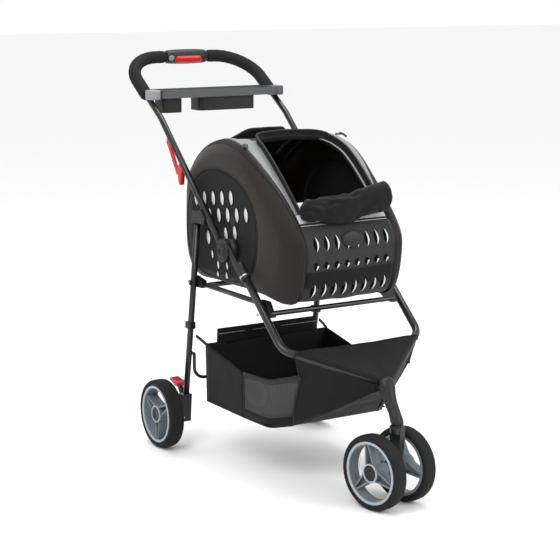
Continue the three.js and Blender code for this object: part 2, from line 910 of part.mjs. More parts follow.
// Caster: fork, axle and twin wheels, turned about the swivel axis
const caster = new THREE.Group();
caster.position.set(0, SWIVEL.y, 0);
caster.rotation.z = SWIVEL.turn * RAD;
stroller.add(caster);
const forkArm = slab(
  [
    [-18, SWIVEL.z - 1.5],
    [18, SWIVEL.z - 1.5],
    [16, 168],
    [12, 130],
    [SWIVEL.trail + 12, 98],
    [SWIVEL.trail + 11, 80],
    [SWIVEL.trail - 4, 77],
    [SWIVEL.trail - 16, 90],
    [-12, 126],
    [-16, 168],
  ],
  -8,
  8,
);
const forkHead = new THREE.CylinderGeometry(18, 17, 16, 18);
forkHead.rotateX(Math.PI / 2).translate(0, 0, SWIVEL.z - 9.5);
addMesh(
  caster,
  "caster_fork",
  cut(
    join(forkArm, forkHead),
    barrel(AXLE_R + GAP, -30, 30, SWIVEL.trail, WHEEL_R, 14),
  ),
  "blackPlastic",
);
const frontAxleHalf = FRONT_WHEEL.spacing / 2 + FRONT_WHEEL.width / 2 - 8;
addMesh(
  caster,
  "front_axle",
  barrel(AXLE_R, -frontAxleHalf, frontAxleHalf, SWIVEL.trail, WHEEL_R, 14),
  "steel",
);
for (const { name, sign } of SIDES) {
  const place = [(sign * FRONT_WHEEL.spacing) / 2, SWIVEL.trail, WHEEL_R];
  addWheel(caster, `front_wheel_${name}`, FRONT_WHEEL.width, sign, 40, place, -45);
}

// ---------------------------------------------------------------- carrier
const carrierCurve = new THREE.CatmullRomCurve3(
  CARRIER_OUTLINE.map(([y, z]) => new THREE.Vector3(0, y, z)),
  true,
  "centripetal",
);
const outlineAt = (t, scale) => {
  const p = carrierCurve.getPoint(((t % 1) + 1) % 1);
  return [
    CARRIER_CENTRE.y + (p.y - CARRIER_CENTRE.y) * scale,
    CARRIER_CENTRE.z + (p.z - CARRIER_CENTRE.z) * scale,
  ];
};
const carrierRing = (scale, count = 40) =>
  Array.from({ length: count }, (_, i) => outlineAt(i / count, scale));

// A wall of the carrier's middle between two places round its outline
function carrierWall(from, to, steps, outer, inner, half) {
  const place = (i) => from + ((to - from) * i) / steps;
  const outside = Array.from({ length: steps + 1 }, (_, i) => outlineAt(place(i), outer));
  const inside = Array.from({ length: steps + 1 }, (_, i) => outlineAt(place(i), inner));
  return slab([...outside, ...inside.reverse()], -half, half);
}

for (const { name, sign } of SIDES) {
  const outer = [
    [CARRIER_INNER_X, 0.985],
    [142, 1],
    [157, 0.945],
    [168, 0.875],
    [174, 0.81],
    [174.5, 0.77],
  ];
  const inner = [
    [CARRIER_INNER_X - 9, 0.955],
    [145, 0.955],
    [157, 0.9],
    [166, 0.82],
  ];
  const sections = (levels) =>
    levels
      .map(([x, scale]) => ({ x: sign * x, outline: carrierRing(scale) }))
      .sort((a, b) => a.x - b.x);
  addMesh(
    stroller,
    `carrier_shell_${name}`,
    cut(loftX(sections(outer)), loftX(sections(inner))),
    "brownFabric",
  );
}

const PLACES = { floor: [13.7, 16.3], front: [0.35, 3.0], top: [4.0, 9.6], back: [9.68, 13.62] };
const middleHalf = CARRIER_INNER_X - GAP;
const part = CARRIER_OUTLINE.length;
const wallBetween = ([from, to], steps) =>
  carrierWall(from / part, to / part, steps, 0.985, 0.985 - WALL / 180, middleHalf);
addMesh(stroller, "carrier_floor", wallBetween(PLACES.floor, 4), "blackFabric");
addMesh(stroller, "carrier_front_panel", wallBetween(PLACES.front, 10), "blackFabric");
addMesh(stroller, "carrier_back_panel", wallBetween(PLACES.back, 10), "blackFabric");
const MOUTH = { half: 88, front: -260, rear: 12 };
const mouthCut = box(-MOUTH.half, MOUTH.half, MOUTH.front, MOUTH.rear, 640, 900);

// Upright collar round the mouth
const collar = cut(
  carrierWall(4.2 / part, 7.4 / part, 10, 1.04, 0.97, MOUTH.half + 5),
  box(-MOUTH.half, MOUTH.half, -400, MOUTH.rear - 6, 600, 900),
);
addMesh(
  stroller,
  "carrier_top",
  join(cut(wallBetween(PLACES.top, 18), mouthCut), collar),
  "greyMesh",
);
addMesh(
  stroller,
  "rear_flap",
  slab(
    [
      [196, 790],
      [150, 810],
      [138, 840],
      [144, 843],
      [168, 830],
      [199, 794],
    ],
    -84,
    84,
  ),
  "blackFabric",
);

// Rolled-up front cover, lying over the front edge of the mouth
const rollPath = [
  [-112, -249, 676],
  [-60, -252, 676],
  [0, -253, 678],
  [70, -252, 684],
  [126, -249, 692],
].map((p) => new THREE.Vector3(...p));
addMesh(stroller, "rolled_cover", tube(rollPath, 29, 12), "blackFabric");

addMesh(stroller, "floor_pad", box(-118, 118, -184, 190, 476, 496), "blackFabric");

// ---------------------------------------------------------------- basket
// A closed body from named corners on the left and their mirror images on the right.
// Each ring lists the left corners that one face meets, counter-clockwise from outside.
function basketSolid({ inset, nose }) {
  const corners = [
    [BASKET.half - inset, BASKET.rear - inset, 300], // rear top
    [BASKET.half - 6 - inset, BASKET.rear - inset, BASKET.bottom + inset], // rear bottom
    [BASKET.foot - inset, BASKET.front + inset, BASKET.bottom + inset], // front bottom
    [nose.x, nose.y, nose.z], // nose, under the caster housing
    [BASKET.half + 3 - inset, BASKET.knee.y, BASKET.knee.z - inset], // knee
    [BASKET.half + 1 - inset, -92, 296], // sagging side
  ];
  const count = corners.length;
  const position = [...corners, ...corners.map(([x, y, z]) => [-x, y, z])].flat();
  const sideFaces = [
    [0, 5, 1],
    [1, 5, 2],
    [5, 4, 2],
    [4, 3, 2],
  ];
  const index = sideFaces.flatMap(([a, b, c]) => [a, b, c, a + count, c + count, b + count]);
  for (let i = 0; i < count; i += 1) {
    const j = (i + 1) % count;
    index.push(i, j, j + count, i, j + count, i + count);
  }
  const geometry = new THREE.BufferGeometry();
  geometry.setAttribute("position", new THREE.Float32BufferAttribute(position, 3));
  geometry.setIndex(index);
  return geometry;
}
const basketOuter = basketSolid({ inset: 0, nose: { x: 14, y: -400, z: 284 } });
const basketHollow = basketSolid({ inset: BASKET.wall, nose: { x: 10, y: -386, z: 284 } });
const basketMouth = slab(
  [
    [BASKET.knee.y + 4, 260],
    [BASKET.knee.y + 4, 400],
    [BASKET.rear - BASKET.wall, 400],
    [BASKET.rear - BASKET.wall, 260],
  ],
  BASKET.wall - BASKET.half,
  BASKET.half - BASKET.wall,
);
addMesh(stroller, "basket", cut(basketOuter, basketHollow, basketMouth), "blackFabric");

export default stroller;
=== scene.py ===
"""Looks of a three-wheeled folding pet stroller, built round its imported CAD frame."""
from math import asin, atan2, cos, degrees, exp, hypot, pi, radians, sin, tan

import bpy
import numpy as np
from mathutils import Matrix, Vector, noise


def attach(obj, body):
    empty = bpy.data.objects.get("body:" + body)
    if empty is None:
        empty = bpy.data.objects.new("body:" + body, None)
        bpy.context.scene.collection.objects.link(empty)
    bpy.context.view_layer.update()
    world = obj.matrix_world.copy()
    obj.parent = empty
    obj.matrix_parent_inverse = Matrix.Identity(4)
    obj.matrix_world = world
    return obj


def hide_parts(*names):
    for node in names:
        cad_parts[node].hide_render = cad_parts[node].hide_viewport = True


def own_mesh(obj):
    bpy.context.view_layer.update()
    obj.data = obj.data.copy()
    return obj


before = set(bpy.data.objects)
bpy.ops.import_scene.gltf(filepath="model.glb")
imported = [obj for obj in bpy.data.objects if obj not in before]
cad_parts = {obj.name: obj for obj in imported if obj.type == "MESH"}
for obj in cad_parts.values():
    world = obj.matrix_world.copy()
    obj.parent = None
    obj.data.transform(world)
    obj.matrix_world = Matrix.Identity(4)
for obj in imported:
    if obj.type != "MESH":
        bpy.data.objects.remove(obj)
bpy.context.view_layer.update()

MM = 0.001
SIDES = (("right", -1), ("left", 1))

# ---------- materials


def material(name, color, rough, metal=0.0, grain=0.0, grain_scale=900.0, blotch=0.12,
             sheen=0.0, coat=0.0, weave=0.0, weave_mm=1.6, holes=0.0, shine=0.5):
    """A procedural material: colour blotches, a fine grain, and for cloth a weave or open holes."""
    mat = bpy.data.materials.new(name)
    mat.use_nodes = True
    nodes, links = mat.node_tree.nodes, mat.node_tree.links
    bsdf = nodes["Principled BSDF"]
    bsdf.inputs["Roughness"].default_value = rough
    bsdf.inputs["Metallic"].default_value = metal
    bsdf.inputs["Sheen Weight"].default_value = sheen
    bsdf.inputs["Coat Weight"].default_value = coat
    bsdf.inputs["Specular IOR Level"].default_value = shine
    place = nodes.new("ShaderNodeTexCoord")

    def noise_at(scale, detail):
        node = nodes.new("ShaderNodeTexNoise")
        node.inputs["Scale"].default_value = scale
        node.inputs["Detail"].default_value = detail
        links.new(place.outputs["Object"], node.inputs["Vector"])
        return node.outputs["Fac"]

    # soft blotches of lighter and darker colour
    ramp = nodes.new("ShaderNodeMapRange")
    ramp.inputs["To Min"].default_value = 1 - blotch
    ramp.inputs["To Max"].default_value = 1 + blotch
    links.new(noise_at(14, 4), ramp.inputs["Value"])
    shade = ramp.outputs["Result"]
    height = None
    if grain:
        height = noise_at(grain_scale, 3)
    if weave or holes:
        thread = nodes.new("ShaderNodeTexVoronoi")
        thread.inputs["Scale"].default_value = 1000 / weave_mm
        thread.inputs["Randomness"].default_value = 0.25
        links.new(place.outputs["Object"], thread.inputs["Vector"])
        height = thread.outputs["Distance"]
        darker = nodes.new("ShaderNodeMapRange")
        darker.inputs["From Max"].default_value = 0.7
        darker.inputs["To Min"].default_value = 1 - max(weave, holes)
        links.new(height, darker.inputs["Value"])
        both = nodes.new("ShaderNodeMath")
        both.operation = "MULTIPLY"
        links.new(shade, both.inputs[0])
        links.new(darker.outputs["Result"], both.inputs[1])
        shade = both.outputs["Value"]
    tint = nodes.new("ShaderNodeMix")
    tint.data_type = "RGBA"
    tint.blend_type = "MULTIPLY"
    tint.inputs["Factor"].default_value = 1.0
    tint.inputs[6].default_value = (*color, 1)
    links.new(shade, tint.inputs[7])
    links.new(tint.outputs[2], bsdf.inputs["Base Color"])
    if height is not None:
        bump = nodes.new("ShaderNodeBump")
        bump.inputs["Strength"].default_value = max(grain, weave, holes)
        bump.inputs["Distance"].default_value = 0.0006
        links.new(height, bump.inputs["Height"])
        links.new(bump.outputs["Normal"], bsdf.inputs["Normal"])
    rough_map = nodes.new("ShaderNodeMapRange")
    rough_map.inputs["To Min"].default_value = max(rough - 0.08, 0)
    rough_map.inputs["To Max"].default_value = min(rough + 0.08, 1)
    links.new(noise_at(40, 3), rough_map.inputs["Value"])
    links.new(rough_map.outputs["Result"], bsdf.inputs["Roughness"])
    return mat


COAT = material("tube_coat", (0.0066, 0.0066, 0.0072), 0.34, grain=0.12, coat=0.1, shine=0.4)
BLACK = material("black_moulding", (0.0075, 0.0075, 0.00825), 0.45, grain=0.2, shine=0.3)
FOAM = material("grip_foam", (0.011, 0.011, 0.012), 0.85, grain=0.6, grain_scale=500, shine=0.15)
GREY = material("tray_grey", (0.058, 0.061, 0.067), 0.4, grain=0.15, shine=0.4)
# paler grey: on the near tray end it is a painted highlight; it is also the grip button's grey
PALE_GREY = material("clamp_grey", (0.20, 0.205, 0.215), 0.42, grain=0.15, shine=0.4)
RED = material("red_moulding", (0.42, 0.010, 0.014), 0.32, grain=0.05, coat=0.15, shine=0.4)
RIM = material("rim_grey", (0.125, 0.155, 0.175), 0.42, grain=0.12, shine=0.4)
RIM_PALE = material("rim_pale", (0.30, 0.34, 0.37), 0.4, grain=0.12, shine=0.4)
TYRE = material("tyre_foam", (0.012, 0.012, 0.012), 0.8, grain=0.5, grain_scale=700, shine=0.15)
STEEL = material("bright_steel", (0.62, 0.62, 0.64), 0.28, 1.0, grain=0.05)
BROWN = material("brown_cloth", (0.0135, 0.00875, 0.0065), 0.72, sheen=0.12, weave=0.25,
                 weave_mm=1.1, shine=0.15)
CLOTH = material("black_cloth", (0.007, 0.007, 0.0075), 0.8, sheen=0.05, weave=0.3, weave_mm=1.3,
                 shine=0.12)
BASKET_CLOTH = material("basket_cloth", (0.008, 0.008, 0.0085), 0.75, sheen=0.04, weave=0.3,
                        shine=0.12)
PIPING = material("piping", (0.006, 0.006, 0.0065), 0.5, weave=0.2, weave_mm=0.9, shine=0.25)
MESH = material("grey_net", (0.26, 0.265, 0.27), 0.8, holes=0.6, weave_mm=2.2, shine=0.2)
BASKET_MESH = material("black_net", (0.05, 0.05, 0.052), 0.8, holes=0.5, weave_mm=3, shine=0.15)
PALE_MESH = material("pale_net", (0.62, 0.63, 0.64), 0.8, holes=0.45, weave_mm=2.2, shine=0.2)
PANEL_CLOTH = material("panel_cloth", (0.022, 0.022, 0.023), 0.7, sheen=0.1, weave=0.3,
                       weave_mm=1.4, shine=0.15)
DARK = material("slot_shadow", (0.002, 0.002, 0.002), 0.9, weave=0.1, weave_mm=1.4, shine=0.05)
THREAD = material("thread", (0.36, 0.36, 0.355), 0.6, weave=0.3, weave_mm=0.8, shine=0.3)
LINING = material("lining", (0.014, 0.012, 0.011), 0.85, weave=0.3, weave_mm=1.5, shine=0.12)

# ---------- shapes


def piece(name, verts, faces, mat, body, replaces=(), smooth=True, bevel=0.0, thick=0.0,
          subdivide=0):
    """A mesh piece from points in millimetres, riding on a CAD body."""
    mesh = bpy.data.meshes.new(name)
    mesh.from_pydata([tuple(c * MM for c in v) for v in verts], [], faces)
    mesh.validate()
    obj = bpy.data.objects.new(name, mesh)
    bpy.context.collection.objects.link(obj)
    mesh.materials.append(mat)
    for polygon in mesh.polygons:
        polygon.use_smooth = smooth
    if thick:
        shell = obj.modifiers.new("thick", "SOLIDIFY")
        shell.thickness = thick * MM
        shell.offset = 0
    if subdivide:
        obj.modifiers.new("sub", "SUBSURF").levels = subdivide
        obj.modifiers["sub"].render_levels = subdivide
    if bevel:
        edge = obj.modifiers.new("bevel", "BEVEL")
        edge.width = bevel * MM
        edge.segments = 3
        edge.limit_method = "ANGLE"
        obj.modifiers.new("normals", "WEIGHTED_NORMAL").keep_sharp = True
    if replaces:
        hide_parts(*replaces)
    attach(obj, body)
    return obj


def grid_faces(rows, cols, close_rows=False, close_cols=False):
    """Quads over a grid of points that are listed row by row."""
    faces = []
    for r in range(rows if close_rows else rows - 1):
        for c in range(cols if close_cols else cols - 1):
            a = r * cols + c
            b = r * cols + (c + 1) % cols
            d = ((r + 1) % rows) * cols + c
            e = ((r + 1) % rows) * cols + (c + 1) % cols
            faces.append((a, b, e, d))
    return faces


def tube_faces(rows, cols):
    """Faces of a closed tube: rings of points listed one after another, and its two ends."""
    return grid_faces(rows, cols, False, True) + [tuple(range(cols))[::-1],
                                                  tuple(range((rows - 1) * cols, rows * cols))]


def bent(corners, steps=8):
    """Points along straight runs with rounded corners: each corner is (x, y, z, radius)."""
    pts = [Vector(c[:3]) for c in corners]
    out = [pts[0]]
    for before, here, after, corner in zip(pts, pts[1:], pts[2:], corners[1:]):
        inward, outward = (before - here).normalized(), (after - here).normalized()
        half = inward.angle(outward) / 2
        radius = corner[3]
        centre = here + (inward + outward).normalized() * (radius / sin(half))
        start = here + inward * (radius / tan(half)) - centre
        turn = inward.cross(outward).normalized()
        for k in range(steps + 1):
            out.append(centre + Matrix.Rotation(-(pi - 2 * half) * k / steps, 3, turn) @ start)
    return out + [pts[-1]]


def sweep(points, radius, sides=20, up=None, flat=1.0, closed=False):
    """Points and faces of a tube or strap along a path; radius may be a function of 0..1."""
    pts = [Vector(p) for p in points]
    n = len(pts)
    size = radius if callable(radius) else (lambda t: radius)
    verts = []
    side = None
    for i, p in enumerate(pts):
        ahead = pts[(i + 1) % n] if closed else pts[min(i + 1, n - 1)]
        behind = pts[i - 1] if closed else pts[max(i - 1, 0)]
        way = (ahead - behind).normalized()
        if up is not None:
            side = way.cross(Vector(up)).normalized()
        elif side is None:
            side = way.orthogonal().normalized()
        else:
            side = (side - way * side.dot(way)).normalized()
        rise = side.cross(way)
        r = size(i / (n - 1))
        for k in range(sides):
            a = 2 * pi * k / sides
            verts.append(p + side * (r * cos(a)) + rise * (r * flat * sin(a)))
    return verts, grid_faces(n, sides, True, True) if closed else tube_faces(n, sides)


def lathe(profile, segments, centre, axis=(1, 0, 0)):
    """A turned shape: profile is [(radius, distance along the axis)], closed on itself."""
    way = Vector(axis).normalized()
    side = way.orthogonal().normalized()
    rise = way.cross(side)
    verts = []
    for r, along in profile:
        for k in range(segments):
            a = 2 * pi * k / segments
            verts.append(Vector(centre) + way * along + side * (r * cos(a))
                         + rise * (r * sin(a)))
    return verts, grid_faces(len(profile), segments, True, True)


def merged(*shapes):
    """Several (points, faces) shapes as one."""
    verts, faces = [], []
    for v, f in shapes:
        faces += [tuple(i + len(verts) for i in face) for face in f]
        verts += list(v)
    return verts, faces


def prism(outline, x0, x1):
    """A plate with a (y, z) outline, from x0 to x1."""
    n = len(outline)
    verts = [(x, y, z) for x in (x0, x1) for y, z in outline]
    faces = [tuple(range(n)), tuple(range(2 * n - 1, n - 1, -1))]
    faces += [(i, i + n, (i + 1) % n + n, (i + 1) % n) for i in range(n)]
    return verts, faces


def block(x0, x1, y0, y1, z0, z1, corner, steps=4):
    """An upright block with rounded vertical corners."""
    ring = []
    for cx, cy, a0 in ((x1, y1, 0), (x0, y1, 90), (x0, y0, 180), (x1, y0, 270)):
        for k in range(steps + 1):
            a = radians(a0 + 90 * k / steps)
            inx = cx - corner if cx == x1 else cx + corner
            iny = cy - corner if cy == y1 else cy + corner
            ring.append((inx + corner * cos(a), iny + corner * sin(a)))
    n = len(ring)
    verts = [(x, y, z) for z in (z0, z1) for x, y in ring]
    faces = [tuple(range(n))[::-1], tuple(range(n, 2 * n))]
    faces += [(i, (i + 1) % n, (i + 1) % n + n, i + n) for i in range(n)]
    return verts, faces


def patch(p00, p10, p11, p01, nu, nv, sag=0.0, wrinkle=0.0, seed=0.0):
    """A sheet between four corners that bulges by sag along its normal and wrinkles a little."""
    a, b, c, d = (Vector(p) for p in (p00, p10, p11, p01))
    normal = (c - a).cross(d - b).normalized()
    verts = []
    for j in range(nv + 1):
        for i in range(nu + 1):
            u, v = i / nu, j / nv
            p = a * (1 - u) * (1 - v) + b * u * (1 - v) + c * u * v + d * (1 - u) * v
            hold = sin(pi * u) * sin(pi * v)
            edge = min(1.0, 6 * min(u, 1 - u, v, 1 - v))
            ripple = noise.noise(p * 0.022 + Vector((seed, 0, 0))) * wrinkle * edge
            verts.append(p + normal * (sag * hold + ripple))
    return verts, grid_faces(nv + 1, nu + 1)


# ---------- frame lines

BEAM = radians(42.9)
BEAM_Y, BEAM_Z = cos(BEAM), sin(BEAM)
GRIP = radians(34)
HUB_Y, HUB_Z = -30, 560
BEND_Y, BEND_Z = 317, 856
CROWN, CROWN_BEND = 257, 102
OFFSET = 20  # from the hub centre to the line of each tube
LEG_X, HANDLE_X, REAR_LEG_X, RAIL_X, RAIL_Z = 196, 190, 192, 177, 449
WHEEL_R = 90
CROWN_Y, CROWN_Z = BEND_Y + CROWN * cos(GRIP), BEND_Z + CROWN * sin(GRIP)


def on_leg(run, off=0):
    """A place by a front leg: run down it from the hub, and off across it."""
    across = OFFSET - off
    return HUB_Y - across * BEAM_Z - run * BEAM_Y, HUB_Z + across * BEAM_Y - run * BEAM_Z


def on_handle(run, back=0):
    """A place by a handle tube: run up it from the hub, and back behind it."""
    across = OFFSET + back
    return HUB_Y + across * BEAM_Z + run * BEAM_Y, HUB_Z - across * BEAM_Y + run * BEAM_Z


def on_grip(run):
    return BEND_Y + run * cos(GRIP), BEND_Z + run * sin(GRIP)


def rear_leg_y(z):
    return 147 + 0.15 * (452 - z)


# ---------- front frame and seat rails
def leg_path(sign):
    return bent([(sign * LEG_X, *on_leg(66)), (sign * LEG_X, -282, 361, 45), (sign * 9, -419, 288)])


for side, sign in SIDES:
    piece(f"front_leg_tube_{side}", *sweep(leg_path(sign), 9.5), COAT, "front_frame",
          [f"front_leg_{side}"])
    rail = sweep([(sign * RAIL_X, -190, RAIL_Z), (sign * RAIL_X, 139, RAIL_Z)], 6.5)
    piece(f"rail_{side}", *rail, COAT, "front_frame", [f"seat_rail_{side}"])
    for k, (y, z) in enumerate(((-190, 430), (147, 452))):
        bolt = lathe([(0.5, 0), (4.5, 0), (4.5, 2.2), (2.5, 3.2), (2.4, 1.4), (0.5, 1.4)], 6,
                     (sign * (206 if k == 0 else 205), y, z), (sign, 0, 0))
        piece(f"bolt_{k}_{side}", *bolt, STEEL, "front_frame", smooth=False)

piece("rear_rail", *sweep([(-170, 108, RAIL_Z), (170, 108, RAIL_Z)], 6.5), COAT,
      "front_frame", ["seat_rear_rail"])

# Caster housing: an oval casting that narrows towards the swivel
rings = []
for z, y, rx, ry in ((199, -470, 14, 14), (206, -468, 15.5, 16), (222, -460, 14.5, 15),
                     (245, -443, 15, 17), (262, -433, 17.5, 18), (280, -427, 20, 19),
                     (296, -422, 19, 18), (302, -420, 12, 12)):
    rings += [(rx * cos(a), y + ry * sin(a), z)
              for a in np.linspace(0, 2 * pi, 24, endpoint=False)]
piece("caster_casting", rings, tube_faces(8, 24), BLACK, "front_frame", ["caster_housing"])

# ---------- hubs
for side, sign in SIDES:
    face = [(0.5, 213), (6, 213), (7, 216.5), (13, 218), (16.5, 216), (17, 213.5), (21, 213),
            (24, 215), (27.4, 212.5), (28.4, 209), (28.4, 199), (0.5, 199)]
    disc = lathe(face, 40, (0, HUB_Y, HUB_Z), (sign, 0, 0))
    sleeve = sweep([(sign * LEG_X, *on_leg(run)) for run in (58, 62, 104, 108)],
                   lambda t: 11 if t in (0, 1) else 13)
    neck = prism([on_leg(0, 8), on_leg(0, -8), on_leg(100, -9), on_leg(100, 9)],
                 sign * 199, sign * 209)
    piece(f"hub_outer_{side}", *merged(disc, sleeve), BLACK, "front_frame",
          [f"hub_leg_half_{side}"])
    piece(f"hub_neck_{side}", *neck, BLACK, "front_frame", bevel=4)
    inner = lathe([(0.5, 176), (20, 176), (27, 178), (28.2, 181), (28.2, 197), (0.5, 197)], 40,
                  (0, HUB_Y, HUB_Z), (sign, 0, 0))
    socket = sweep([(sign * 188, *on_handle(0)), (sign * 188, *on_handle(46))], 11)
    piece(f"hub_inner_{side}", *merged(inner, socket), BLACK, "handle",
          [f"hub_handle_half_{side}"])
    strap_ring = lathe([(11.0, -2), (13.4, -2), (13.4, 2), (11.0, 2)], 24,
                       (sign * LEG_X, *on_leg(98)), (0, BEAM_Y, BEAM_Z))
    piece(f"hub_collar_{side}", *strap_ring, STEEL, "front_frame")

# ---------- handle
handle = bent([(-HANDLE_X, *on_handle(2)), (-HANDLE_X, BEND_Y, BEND_Z, 90),
               (-HANDLE_X, CROWN_Y, CROWN_Z, CROWN_BEND),
               (HANDLE_X, CROWN_Y, CROWN_Z, CROWN_BEND), (HANDLE_X, BEND_Y, BEND_Z, 90),
               (HANDLE_X, *on_handle(2))], 14)
piece("handle_pipe", *sweep(handle, 8), COAT, "handle", ["handle_tube"])
for side, sign in SIDES:
    run = bent([(sign * HANDLE_X, *on_grip(90)), (sign * HANDLE_X, CROWN_Y, CROWN_Z, CROWN_BEND),
                (sign * 62.5, CROWN_Y, CROWN_Z)], 18)
    taper = lambda t: 16.6 - 3.5 * max(0, 1 - 30 * min(t, 1 - t)) + 0.25 * sin(90 * t)
    dense = []
    for a, b in zip(run, run[1:]):
        count = max(1, int((b - a).length / 4))
        dense += [a.lerp(b, k / count) for k in range(count)]
    foam = piece(f"foam_{side}", *sweep(dense + [run[-1]], taper, 28), FOAM, "handle",
                 [f"foam_grip_{side}"])

# Trigger housing: an oval barrel with a flared front lip, a red squeeze bar and a grey button
shell = []
HOUSING = [(-62, 15.5), (-58, 17.5), (-50, 18.6), (-30, 19.6), (0, 20), (30, 19.6), (50, 18.6),
           (58, 17.5), (62, 15.5)]
for x, r in HOUSING:
    shell += [(x, CROWN_Y + r * 0.98 * cos(a), CROWN_Z + r * sin(a))
              for a in np.linspace(0, 2 * pi, 28, endpoint=False)]
piece("trigger_shell", shell, tube_faces(len(HOUSING), 28), BLACK, "handle", ["trigger_housing"])


def pill(x0, x1, y, z, height, depth, tilt, steps=8):
    """A flat bar with round ends that stands out towards -Y and slightly down."""
    half = height / 2
    ring = []
    for cx, a0 in ((x1 - half, -90), (x0 + half, 90)):
        ring += [(cx + half * cos(radians(a0 + 180 * k / steps)),
                  half * sin(radians(a0 + 180 * k / steps))) for k in range(steps + 1)]
    n = len(ring)
    out = Vector((0, -cos(tilt), -sin(tilt)))
    up = Vector((0, -sin(tilt), cos(tilt)))
    verts = [Vector((x, y, z)) + up * h + out * d for d in (0, depth) for x, h in ring]
    faces = [tuple(range(n)), tuple(range(2 * n - 1, n - 1, -1))]
    return verts, faces + [(i, i + n, (i + 1) % n + n, (i + 1) % n) for i in range(n)]


piece("trigger_bar", *pill(-38, 38, CROWN_Y - 15.5, CROWN_Z - 6, 16, 8.5, 0.35), RED,
      "trigger", ["trigger_button"], bevel=3)
piece("trigger_rim", *pill(-41, 41, CROWN_Y - 13, CROWN_Z - 6, 20, 6.5, 0.35), RED,
      "handle", bevel=2)
piece("grip_button", *pill(-60, -43, CROWN_Y - 13, CROWN_Z - 2, 14, 6, 0.25), PALE_GREY,
      "handle", bevel=2)

# ---------- tray
TRAY_Z = 903
tray_outer = block(-173, 173, 330, 418, TRAY_Z, TRAY_Z + 20, 14)
tray = piece("tray_shell", *tray_outer, GREY, "handle", ["parent_tray"], bevel=2.5)


def carve(obj, shape, name):
    """Cuts a shape out of a piece for good."""
    mesh = bpy.data.meshes.new(name)
    mesh.from_pydata([tuple(c * MM for c in v) for v in shape[0]], [], shape[1])
    tool = bpy.data.objects.new(name, mesh)
    bpy.context.collection.objects.link(tool)
    cutter = obj.modifiers.new("cut", "BOOLEAN")
    cutter.object, cutter.operation, cutter.solver = tool, "DIFFERENCE", "EXACT"
    obj.modifiers.move(obj.modifiers.find("cut"), 0)
    bpy.context.view_layer.objects.active = obj
    bpy.ops.object.modifier_apply(modifier="cut")
    bpy.data.objects.remove(tool)


carve(tray, block(-169, 169, 334, 414, TRAY_Z + 5, TRAY_Z + 60, 11), "well")
CUPS = (("small", -165, -106, 39), ("long", -57, 115, 37))
for name, x0, x1, depth in CUPS:
    carve(tray, block(x0, x1, 348, 409, TRAY_Z - 20, TRAY_Z + 60, 9), "hole")
    outer = block(x0 + 0.3, x1 - 0.3, 348.3, 408.7, TRAY_Z - depth, TRAY_Z + 7, 14)
    tub = piece(f"cup_{name}", *outer, BLACK, "handle", [f"tray_cup_{name}"],
                bevel=4)
    carve(tub, block(x0 + 2.8, x1 - 2.8, 351, 406, TRAY_Z - depth + 2.5, TRAY_Z + 60, 7), "hollow")
for side, sign in SIDES:
    x0, x1 = sorted((sign * 171, sign * 204))
    clamp = block(x0, x1, 344, 383, TRAY_Z - 4, TRAY_Z + 21, 9)
    # the near (right) end gets the paler grey as a painted highlight where the light falls on it;
    # the far end keeps the tray grey
    piece(f"tray_end_{side}", *clamp, PALE_GREY if side == "right" else GREY, "handle", bevel=4)

# ---------- side lock
X_LOCK = -HANDLE_X


def lock_plate(half, *places):
    return prism([on_handle(run, back) for run, back in places], X_LOCK - half, X_LOCK + half)


piece("lock_clip", *lock_plate(5, (364, 5), (368, 12), (392, 12), (396, 5)), RED, "handle",
      ["side_lock_clip"], bevel=1.5)
piece("lock_lever", *lock_plate(4, (388, 12.6), (366, 12.6), (301, 33), (297, 41), (388, 19.4),
                                (390.7, 17.7), (390.7, 14.3)), RED, "side_lock",
      ["side_lock_lever"], bevel=1.5)
piece("lock_catch", *lock_plate(6, (305, 6), (305, 26), (269, 48), (263, 42), (287, 6)), RED,
      "handle", ["side_lock_catch"], bevel=2)
pivot = lathe([(0.5, 5), (4, 5), (4, 6.5), (2, 7.5), (0.5, 7.5)], 16,
              (X_LOCK, *on_handle(388, 16)), (-1, 0, 0))
piece("lock_rivet", *pivot, STEEL, "side_lock")

# ---------- rear frame
for side, sign in SIDES:
    x = sign * REAR_LEG_X
    piece(f"rear_tube_{side}", *sweep([(x, rear_leg_y(86), 86), (x, rear_leg_y(636), 636)], 8),
          COAT, "rear_frame", [f"rear_leg_{side}"])
    clip = block(min(x - 10, x + 10), max(x - 10, x + 10), rear_leg_y(338) - 11,
                 rear_leg_y(338) + 16, 328, 346, 5)
    piece(f"leg_clip_{side}", *clip, BLACK, "rear_frame", bevel=2)
    hub_bolt = lathe([(0.5, 0), (5, 0), (5, 2.5), (3, 3.5), (0.5, 3.5)], 6,
                     (sign * 211, 172, 94), (sign, 0, 0))
    piece(f"foot_bolt_{side}", *hub_bolt, STEEL, "rear_frame", smooth=False)
    x0, x1 = sorted((sign * 163, sign * 175))
    arm = prism([(224, 101), (230, 95), (240, 99), (275, 149), (270, 154), (262, 152)], x0, x1)
    piece(f"pedal_arm_{side}", *arm, BLACK, f"brake_{side}", bevel=2)
    x0, x1 = sorted((sign * 153, sign * 180))
    pad = prism([(263, 149.5), (277, 147.5), (307, 160), (309, 166.5), (272, 163.5), (263, 157)],
                x0, x1)
    piece(f"pedal_pad_{side}", *pad, RED, f"brake_{side}",
          [f"brake_pedal_{side}"], bevel=2.5)
    for k in range(4):
        tread = block(x0 + 4, x1 - 4, 277 + 7 * k, 280 + 7 * k, 161 + 0.7 * k, 166.5 + 0.7 * k,
                      1.2, 2)
        piece(f"pedal_rib_{side}_{k}", *tread, RED, f"brake_{side}")
bar = bent([(-186, 175, 262), (-179, 171, 258, 5), (-179, 172, 193, 30), (179, 172, 193, 30),
            (179, 171, 258, 5), (186, 175, 262)])
piece("cross_bar", *sweep(bar, 4.5, 16), COAT, "rear_frame", ["rear_cross_bar"])

# ---------- wheels


